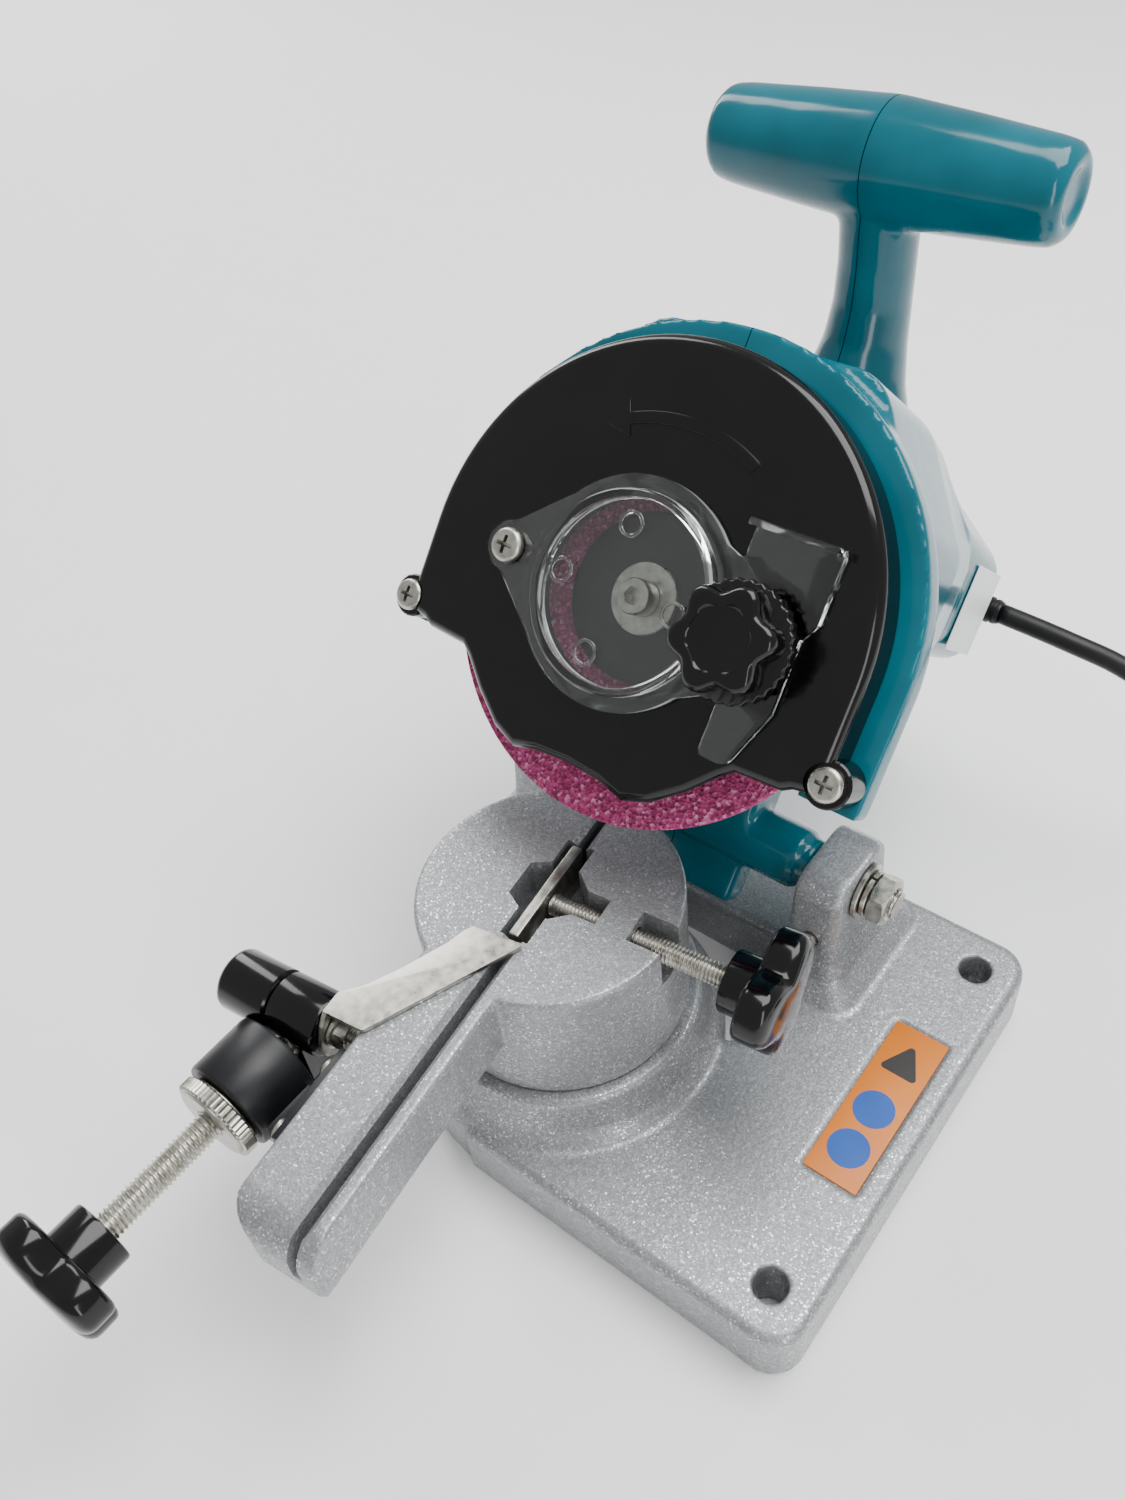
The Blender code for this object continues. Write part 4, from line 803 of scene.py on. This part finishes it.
def neck_rings(shrink):
    """Sections of the stalk that rises to the handle bar."""
    stations = [
        (5, 96, 30, 30, 0), (4, 112, 21.5, 23, 0.05), (2, 118, 16.5, 18.5, 0.1),
        (-0.5, 126, 12.6, 15, 0.22), (-4, 134, 10.6, 13.2, 0.4), (-9, 143, 9.7, 12, 0.5),
        (-16, 152, 9.5, 11.4, 0.65), (-24, 160.5, 9.8, 11, 0.7), (-30, 168, 9.8, 10, 0.7)]
    rings = []
    for y, z, wide, deep, lean in stations:
        ring = []
        for a, b in circle(1, 56):
            b *= deep - shrink
            ring.append((a * (wide - shrink), y + b * cos(lean), z + b * sin(lean)))
        rings.append(ring)
    return rings


def housing():
    """The whole shell before it is split on its centre plane."""
    grip_at = (-31, 170)
    arch = [(RING_R * cos(pi * k / 60), WHEEL_Z + RING_R * sin(pi * k / 60)) for k in range(61)]
    arch += [(-RING_R, LEG_END), (RING_R, LEG_END)]
    arm_side = rounded([(-9, 40), (-9, 2), (-2, -9), (-2, -21), (9, -21), (9, 40)], 2)
    shell = join(
        slab("Y", arch, RING_FRONT, RING_BACK, 2.2), loft(body_rings(0)), loft(neck_rings(0)),
        slab("Y", circle(30, 72, HUB), -58.3, 18, 5),
        turned("X", [(5, -45), (7, -46.6), (9.6, -46), (11.3, -44), (11.9, -40), (13.4, -20),
                     (14.5, -1), (14.5, 1), (13.4, 20), (11.9, 40), (11.3, 44), (9.6, 46),
                     (7, 46.6), (5, 45)], grip_at, 72),
        prism("X", arm_side, -21.7, 21.7), rod("X", 8.75, -28, 37.4), rod("X", 7.2, 30, 41.7))
    shell = cut(
        shell, join(loft(body_rings(3)), rod("Y", 27, -56, 15, HUB)),
        rod("Y", 57, -80, -59, HUB, 96), rod("Y", 6, -62, -50, HUB), rod("X", 4.2, -50, 50),
        box((-4.6, 4, 124), (4.6, 22, 140)), rod("X", 4.8, 20, 60, (57, 80.5)))
    for y, z, reach in ((-38, 90, 48), (45, 80, 43.4), (3.5, -14, 21.7)):
        shell = cut(shell, rod("X", 3.6, -reach - 20, -reach + 5, (y, z)))
    # Cooling louvres ahead of the rating plate
    for side in (1, -1):
        for k in range(5):
            y = 8.2 + 1.9 * k
            shell = cut(shell, box((side * 44 - 3, y - 0.5, 68), (side * 44 + 3, y + 0.5, 88)))
    return melt(shell, 1.0, 5)


def half_of(mesh, side):
    """One moulding of the clamshell, with a crisp parting line."""
    shape = bmesh.new()
    shape.from_mesh(mesh)
    bmesh.ops.bisect_plane(
        shape, geom=shape.verts[:] + shape.edges[:] + shape.faces[:], dist=1e-5,
        plane_co=(0.15 * side, 0, 0), plane_no=(-side, 0, 0), clear_outer=True)
    rim = [e for e in shape.edges if e.is_boundary]
    bmesh.ops.triangle_fill(shape, use_beauty=True, edges=rim)
    bmesh.ops.recalc_face_normals(shape, faces=shape.faces)
    result = bpy.data.meshes.new("half")
    shape.to_mesh(result)
    shape.free()
    return result


shell = housing()
for side, name in ((1, "right"), (-1, "left")):
    piece("shell_" + name, half_of(shell, side), HEAD, "head", TEAL, ["housing_" + name],
          50)
for name, y, z, reach in (("top", -38, 90, 48), ("rear", 45, 80, 43.4), ("hinge", 3.5, -14, 21.7)):
    piece("shell_screw_" + name,
          cross_head("X", 3.2, 2.2, 1.5, reach + 7, (y, z), -reach + 2.5, -1),
          HEAD, "head", ZINC, ["housing_screw_" + name])
plate = box((45.3, 18, 66), (45.6, 42, 90))
piece("rating_plate", plate, HEAD, "head", PAPER, ["rating_label"], bevel=0.08)
relief = [(4.5, 22), (4.5, 27), (3.9, 27.4), (3.9, 29), (4.5, 29.4), (4.5, 37.6)]
for k in range(4):
    relief += [(4.3 - 0.2 * k, 38 + 2 * k), (4.3 - 0.2 * k, 39 + 2 * k),
               (3.7 - 0.1 * k, 39.2 + 2 * k),
               (3.7 - 0.1 * k, 39.8 + 2 * k)]
piece("cord_relief", turned("X", relief + [(3.3, 46)], (57, 80.5)), HEAD, "head", RUBBER,
      ["strain_relief"])
rocker = prism("X", rounded([(5, 125), (13.4, 126), (12.2, 131.5), (12.8, 139), (5, 139)],
                            [1, 1.4, 3, 1.4, 1]), -4.2, 4.2)
piece("rocker_cap", rocker, HEAD, "switch", NYLON, ["switch_rocker"],
      bevel=0.4)

# ------------------------------------------------------------------ guard and cover
def wheel_guard():
    plan = [(GUARD_R * cos(pi * k / 60), GUARD_R * sin(pi * k / 60)) for k in range(61)]
    lower = [(-GUARD_R, -24), (-53, -25), (-50.8, -26.3), (-39.5, -26.9), (-36.8, -29),
             (-30.5, -35.5), (-23, -41.6), (-16, -44.3), (-9, -42.5)]
    plan += lower + [(0, -41.9)] + [(-x, z) for x, z in reversed(lower)]
    shape = slab("Y", [(x, z + WHEEL_Z) for x, z in plan], RING_FRONT - 0.3, GUARD_FRONT, 3, 10)
    room = [((GUARD_R - 2.4) * cos(pi * k / 60), WHEEL_Z + (GUARD_R - 2.4) * sin(pi * k / 60))
            for k in range(61)] + [(2.4 - GUARD_R, -20), (GUARD_R - 2.4, -20)]
    shape = cut(shape, prism("Y", room, -50, GUARD_FRONT + 2.2))
    for side in (1, -1):
        at = (side * SCREW_X, SCREW_Z)
        shape = join(shape, turned("Y", [(5.4, RING_FRONT - 0.3), (5.4, EAR_FACE + 0.4),
                                         (5.0, EAR_FACE)], at))
        shape = cut(shape, rod("Y", 4.7, EAR_FACE, -90, at), rod("Y", 2.2, -90, -50, at))
    return cut(shape, rod("Y", 21.5, -90, -70, HUB, 96), rod("Y", 2.8, -90, -70, KNOB_AT),
               rod("Y", 1.9, -90, -70, PIP_AT))


piece("guard_moulding", wheel_guard(), HEAD, "head", BLACK, ["wheel_guard"],
      38)


def turning_arrow():
    """Raised arrow that shows which way the wheel turns."""
    start, end = radians(62), radians(112)
    band = [(41.4, start), (41.4, end), (44.2, end), (40.0, end + radians(9)), (35.8, end),
            (38.6, end), (38.6, start)]
    plan = []
    for (r0, t0), (r1, t1) in zip(band, band[1:] + band[:1]):
        steps = 24 if r0 == r1 else 1
        for k in range(steps):
            r, t = r0 + (r1 - r0) * k / steps, t0 + (t1 - t0) * k / steps
            plan.append((r * cos(t), WHEEL_Z + r * sin(t)))
    return prism("Y", plan, GUARD_FRONT + 0.3, GUARD_FRONT - 0.35)


piece("guard_arrow", turning_arrow(), HEAD, "head", BLACK, bevel=0.2)
for side, name in ((1, "right"), (-1, "left")):
    piece("guard_cross_head_" + name, cross_head("Y", 4, 2.4, 2, 14, (side * SCREW_X, SCREW_Z),
                                                 EAR_FACE - 2.4, -1),
          HEAD, "head", ZINC, ["guard_screw_" + name])

COVER_BACK = GUARD_FRONT - 0.3


def cover():
    """Clear moulding: domed disc, ear for its screw and stepped wing for its knob."""
    ear = rounded([(-15, 22), (-33.6, 6.6), (-37.2, 5.4), (-39.6, 1.9), (-39.6, -1.5),
                   (-37.2, -4.9), (-33.6, -6), (-15, -22)], [0, 2, 3, 3, 3, 3, 2, 0], 5)
    wing = rounded([(15, -20), (31, -12), (31, -26), (38, -26), (43.5, -12), (43.5, 5), (46, 9),
                    (46, 25.5), (25, 25.5), (25, 16.5), (15, 20)],
                   [0, 2, 1.5, 3, 2, 1, 1, 1.5, 1, 1, 0], 5)
    shape = join(
        rod("Y", 27, COVER_BACK, COVER_FACE, HUB, 120),
        prism("Y", [(x, z + WHEEL_Z) for x, z in ear], COVER_BACK - 0.02, COVER_FACE + 0.02),
        prism("Y", [(x, z + WHEEL_Z) for x, z in wing], COVER_BACK - 0.03, COVER_FACE + 0.03),
        box((25, COVER_FACE - 4.5, WHEEL_Z + 23.9), (46, COVER_FACE + 0.5, WHEEL_Z + 25.5)),
        turned("Y", [(23.5, COVER_FACE + 0.5), (23.5, COVER_FACE - 2.4), (23.2, COVER_FACE - 2.9),
                     (22.6, COVER_FACE - 3.2)], HUB, 120))
    return cut(
        shape, rod("Y", 21.3, -60, COVER_FACE - 1.6, HUB, 96), rod("Y", 2.8, -90, -70, KNOB_AT),
        rod("Y", 1.9, -90, -70, PIP_AT))


piece("cover_moulding", cover(), HEAD, "head", CLEAR, ["clear_cover"],
      bevel=0.25, steps=2)
pips = [washer("Y", 2.3, 3.1, COVER_FACE - 3.5, COVER_FACE - 3.1,
               (15.4 * cos(t), WHEEL_Z + 15.4 * sin(t)),
               0.1) for t in (radians(0), radians(98), radians(180), radians(262))]
piece("cover_gate_marks", gather(pips), HEAD, "head", CLEAR)
piece("cover_cross_head", cross_head("Y", 4.2, 2.6, 1.7, 7, PIP_AT, COVER_FACE - 2.8, -1), HEAD,
      "head", ZINC, ["cover_screw"])

KNOB_BACK = COVER_FACE - 3.5
shares = [(3, 0.9, 1), (3.4, 0.95, 1), (4.2, 0.985, 1), (5, 1, 1), (9, 1, 1), (10, 0.98, 1),
          (10.7, 0.94, 1), (11.1, 0.88, 1), (11.2, 0.8, 1), (11.2, 0.62, 0.5), (10.6, 0.58, 0.2),
          (10.5, 0.54, 0), (10.5, 0.05, 0)]
grip = lobed("Y", KNOB_AT, 6, 12.4, 2.6, [(KNOB_BACK - a, s, b) for a, s, b in shares], 0.3,
             power=1.2)
ribs = []
for i in range(240):
    r = 13.6 - 0.6 * (0.5 - 0.5 * cos(2 * pi * i / 240 * 30)) ** 0.7
    ribs.append((r * cos(2 * pi * i / 240), r * sin(2 * pi * i / 240)))
collar = loft([[(KNOB_AT[0] + x * s, KNOB_BACK - a, KNOB_AT[1] + z * s) for x, z in ribs]
               for a, s in ((0, 0.97), (0.4, 1), (3.1, 1), (3.5, 0.97))])
piece("cover_star_grip", gather([grip, collar, rod("Y", 2.4, -72, KNOB_BACK - 2, KNOB_AT)]), HEAD,
      "cover_knob", BLACK, ["cover_knob"], 50)

# ------------------------------------------------------------------ wheel and its clamping
WHEEL_Y = -64.4
wheel = turned("Y", [(11.5, WHEEL_Y - 1.6), (53.6, WHEEL_Y - 1.6), (54, WHEEL_Y - 1.2),
                     (54, WHEEL_Y + 1.2), (53.6, WHEEL_Y + 1.6), (11.5, WHEEL_Y + 1.6)], HUB, 180,
               True)
piece("corundum_wheel", wheel, HEAD, "spindle", PINK, ["grinding_wheel"])
FLANGE_FACE = WHEEL_Y - 1.9
piece("clamp_flange", washer("Y", 2.7, 20, FLANGE_FACE - 1.5, FLANGE_FACE, HUB), HEAD, "spindle",
      NYLON, ["front_flange"])
piece("zinc_washer", washer("Y", 2.7, 8.5, FLANGE_FACE - 3, FLANGE_FACE - 1.8, HUB), HEAD,
      "spindle", ZINC, ["wheel_washer"])
HEAD_FACE = FLANGE_FACE - 3.3
socket_bolt = turned("Y", [(3.6, HEAD_FACE - 5), (4.0, HEAD_FACE - 4.9), (4.25, HEAD_FACE - 4.5),
                           (4.25, HEAD_FACE), (2.5, HEAD_FACE), (2.5, -52)], HUB, 72)
socket_bolt = cut(socket_bolt, prism("Y", hexagon(4, HUB), HEAD_FACE - 7, HEAD_FACE - 2.6))
piece("socket_head_bolt", socket_bolt, HEAD, "spindle", ZINC, ["wheel_bolt"])

# ------------------------------------------------------------------ plug
PLUG_AT = (COIL_X + 38.5, COIL_Y - 45, 9.3)
sections = [(0, 3.6, 1), (0.6, 4, 1), (8, 6, 0.9), (14, 10, 0.75), (20, 14.2, 0.62),
            (22, 14.7, 0.6), (40, 14.8, 0.6), (42, 14.3, 0.6), (43, 13, 0.6)]
plug = loft([[(PLUG_AT[0] + a, PLUG_AT[1] - along, PLUG_AT[2] + b * flat)
              for a, b in circle(r, 64)] for along, r, flat in sections])
plug = piece("mains_plug", plug, BASE, "base", NYLON, ["plug_body"])
for side, name in ((1, "right"), (-1, "left")):
    pin = turned("Y", [(0.05, PLUG_AT[1] - 62), (1, PLUG_AT[1] - 61.9), (1.8, PLUG_AT[1] - 61.3),
                       (2.2, PLUG_AT[1] - 60), (2.2, PLUG_AT[1] - 34)],
                 (PLUG_AT[0] + side * 9, PLUG_AT[2]), 40)
    piece("mains_pin_" + name, pin, BASE, "base", ZINC, ["plug_pin_" + name])

# ------------------------------------------------------------------ what shows through gaps
INSIDE = {
    "pivot_bolt": ZINC, "pivot_washer": ZINC, "rear_flange": STEEL, "spindle": STEEL,
    "front_bearing": STEEL, "rear_bearing": STEEL, "armature": COPPER, "commutator": COPPER,
    "fan": NYLON, "stator": STEEL, "brush_left": CARBON, "brush_right": CARBON,
    "switch_body": NYLON}
for name, finish in INSIDE.items():
    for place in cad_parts[name].material_slots:
        place.material = finish

# ------------------------------------------------------------------ floor and light
floor = bpy.data.objects.new("floor", bpy.data.meshes.new("floor"))
HALF = 6
floor.data.from_pydata([(-HALF, -HALF, 0), (HALF, -HALF, 0), (HALF, HALF, 0), (-HALF, HALF, 0)],
                       [], [(0, 1, 2, 3)])
bpy.context.scene.collection.objects.link(floor)
ground = moulded("white paper sweep", "#fafafa", "#fcfcfc", 0.85, 0.01)
floor.data.materials.append(ground)


def soft_light(name, at, size, power):
    lamp = bpy.data.lights.new(name, "AREA")
    lamp.shape = "RECTANGLE"
    lamp.size, lamp.size_y = size
    lamp.energy = power
    item = bpy.data.objects.new(name, lamp)
    bpy.context.scene.collection.objects.link(item)
    item.location = at
    item.rotation_euler = (Vector((0, 0, 0.08)) - Vector(at)).to_track_quat("-Z", "Y").to_euler()


soft_light("overhead", (0.25, 0.35, 1.2), (0.9, 0.9), 22)
soft_light("left_box", (-1.0, 0.5, 0.8), (0.3, 1.2), 9)
soft_light("right_box", (1.0, -0.55, 0.5), (0.25, 1.0), 5)
world = bpy.data.worlds.new("studio")
world.use_nodes = True
world.node_tree.nodes["Background"].inputs["Color"].default_value = (1, 1, 1, 1)
world.node_tree.nodes["Background"].inputs["Strength"].default_value = 0.6
bpy.context.scene.world = world
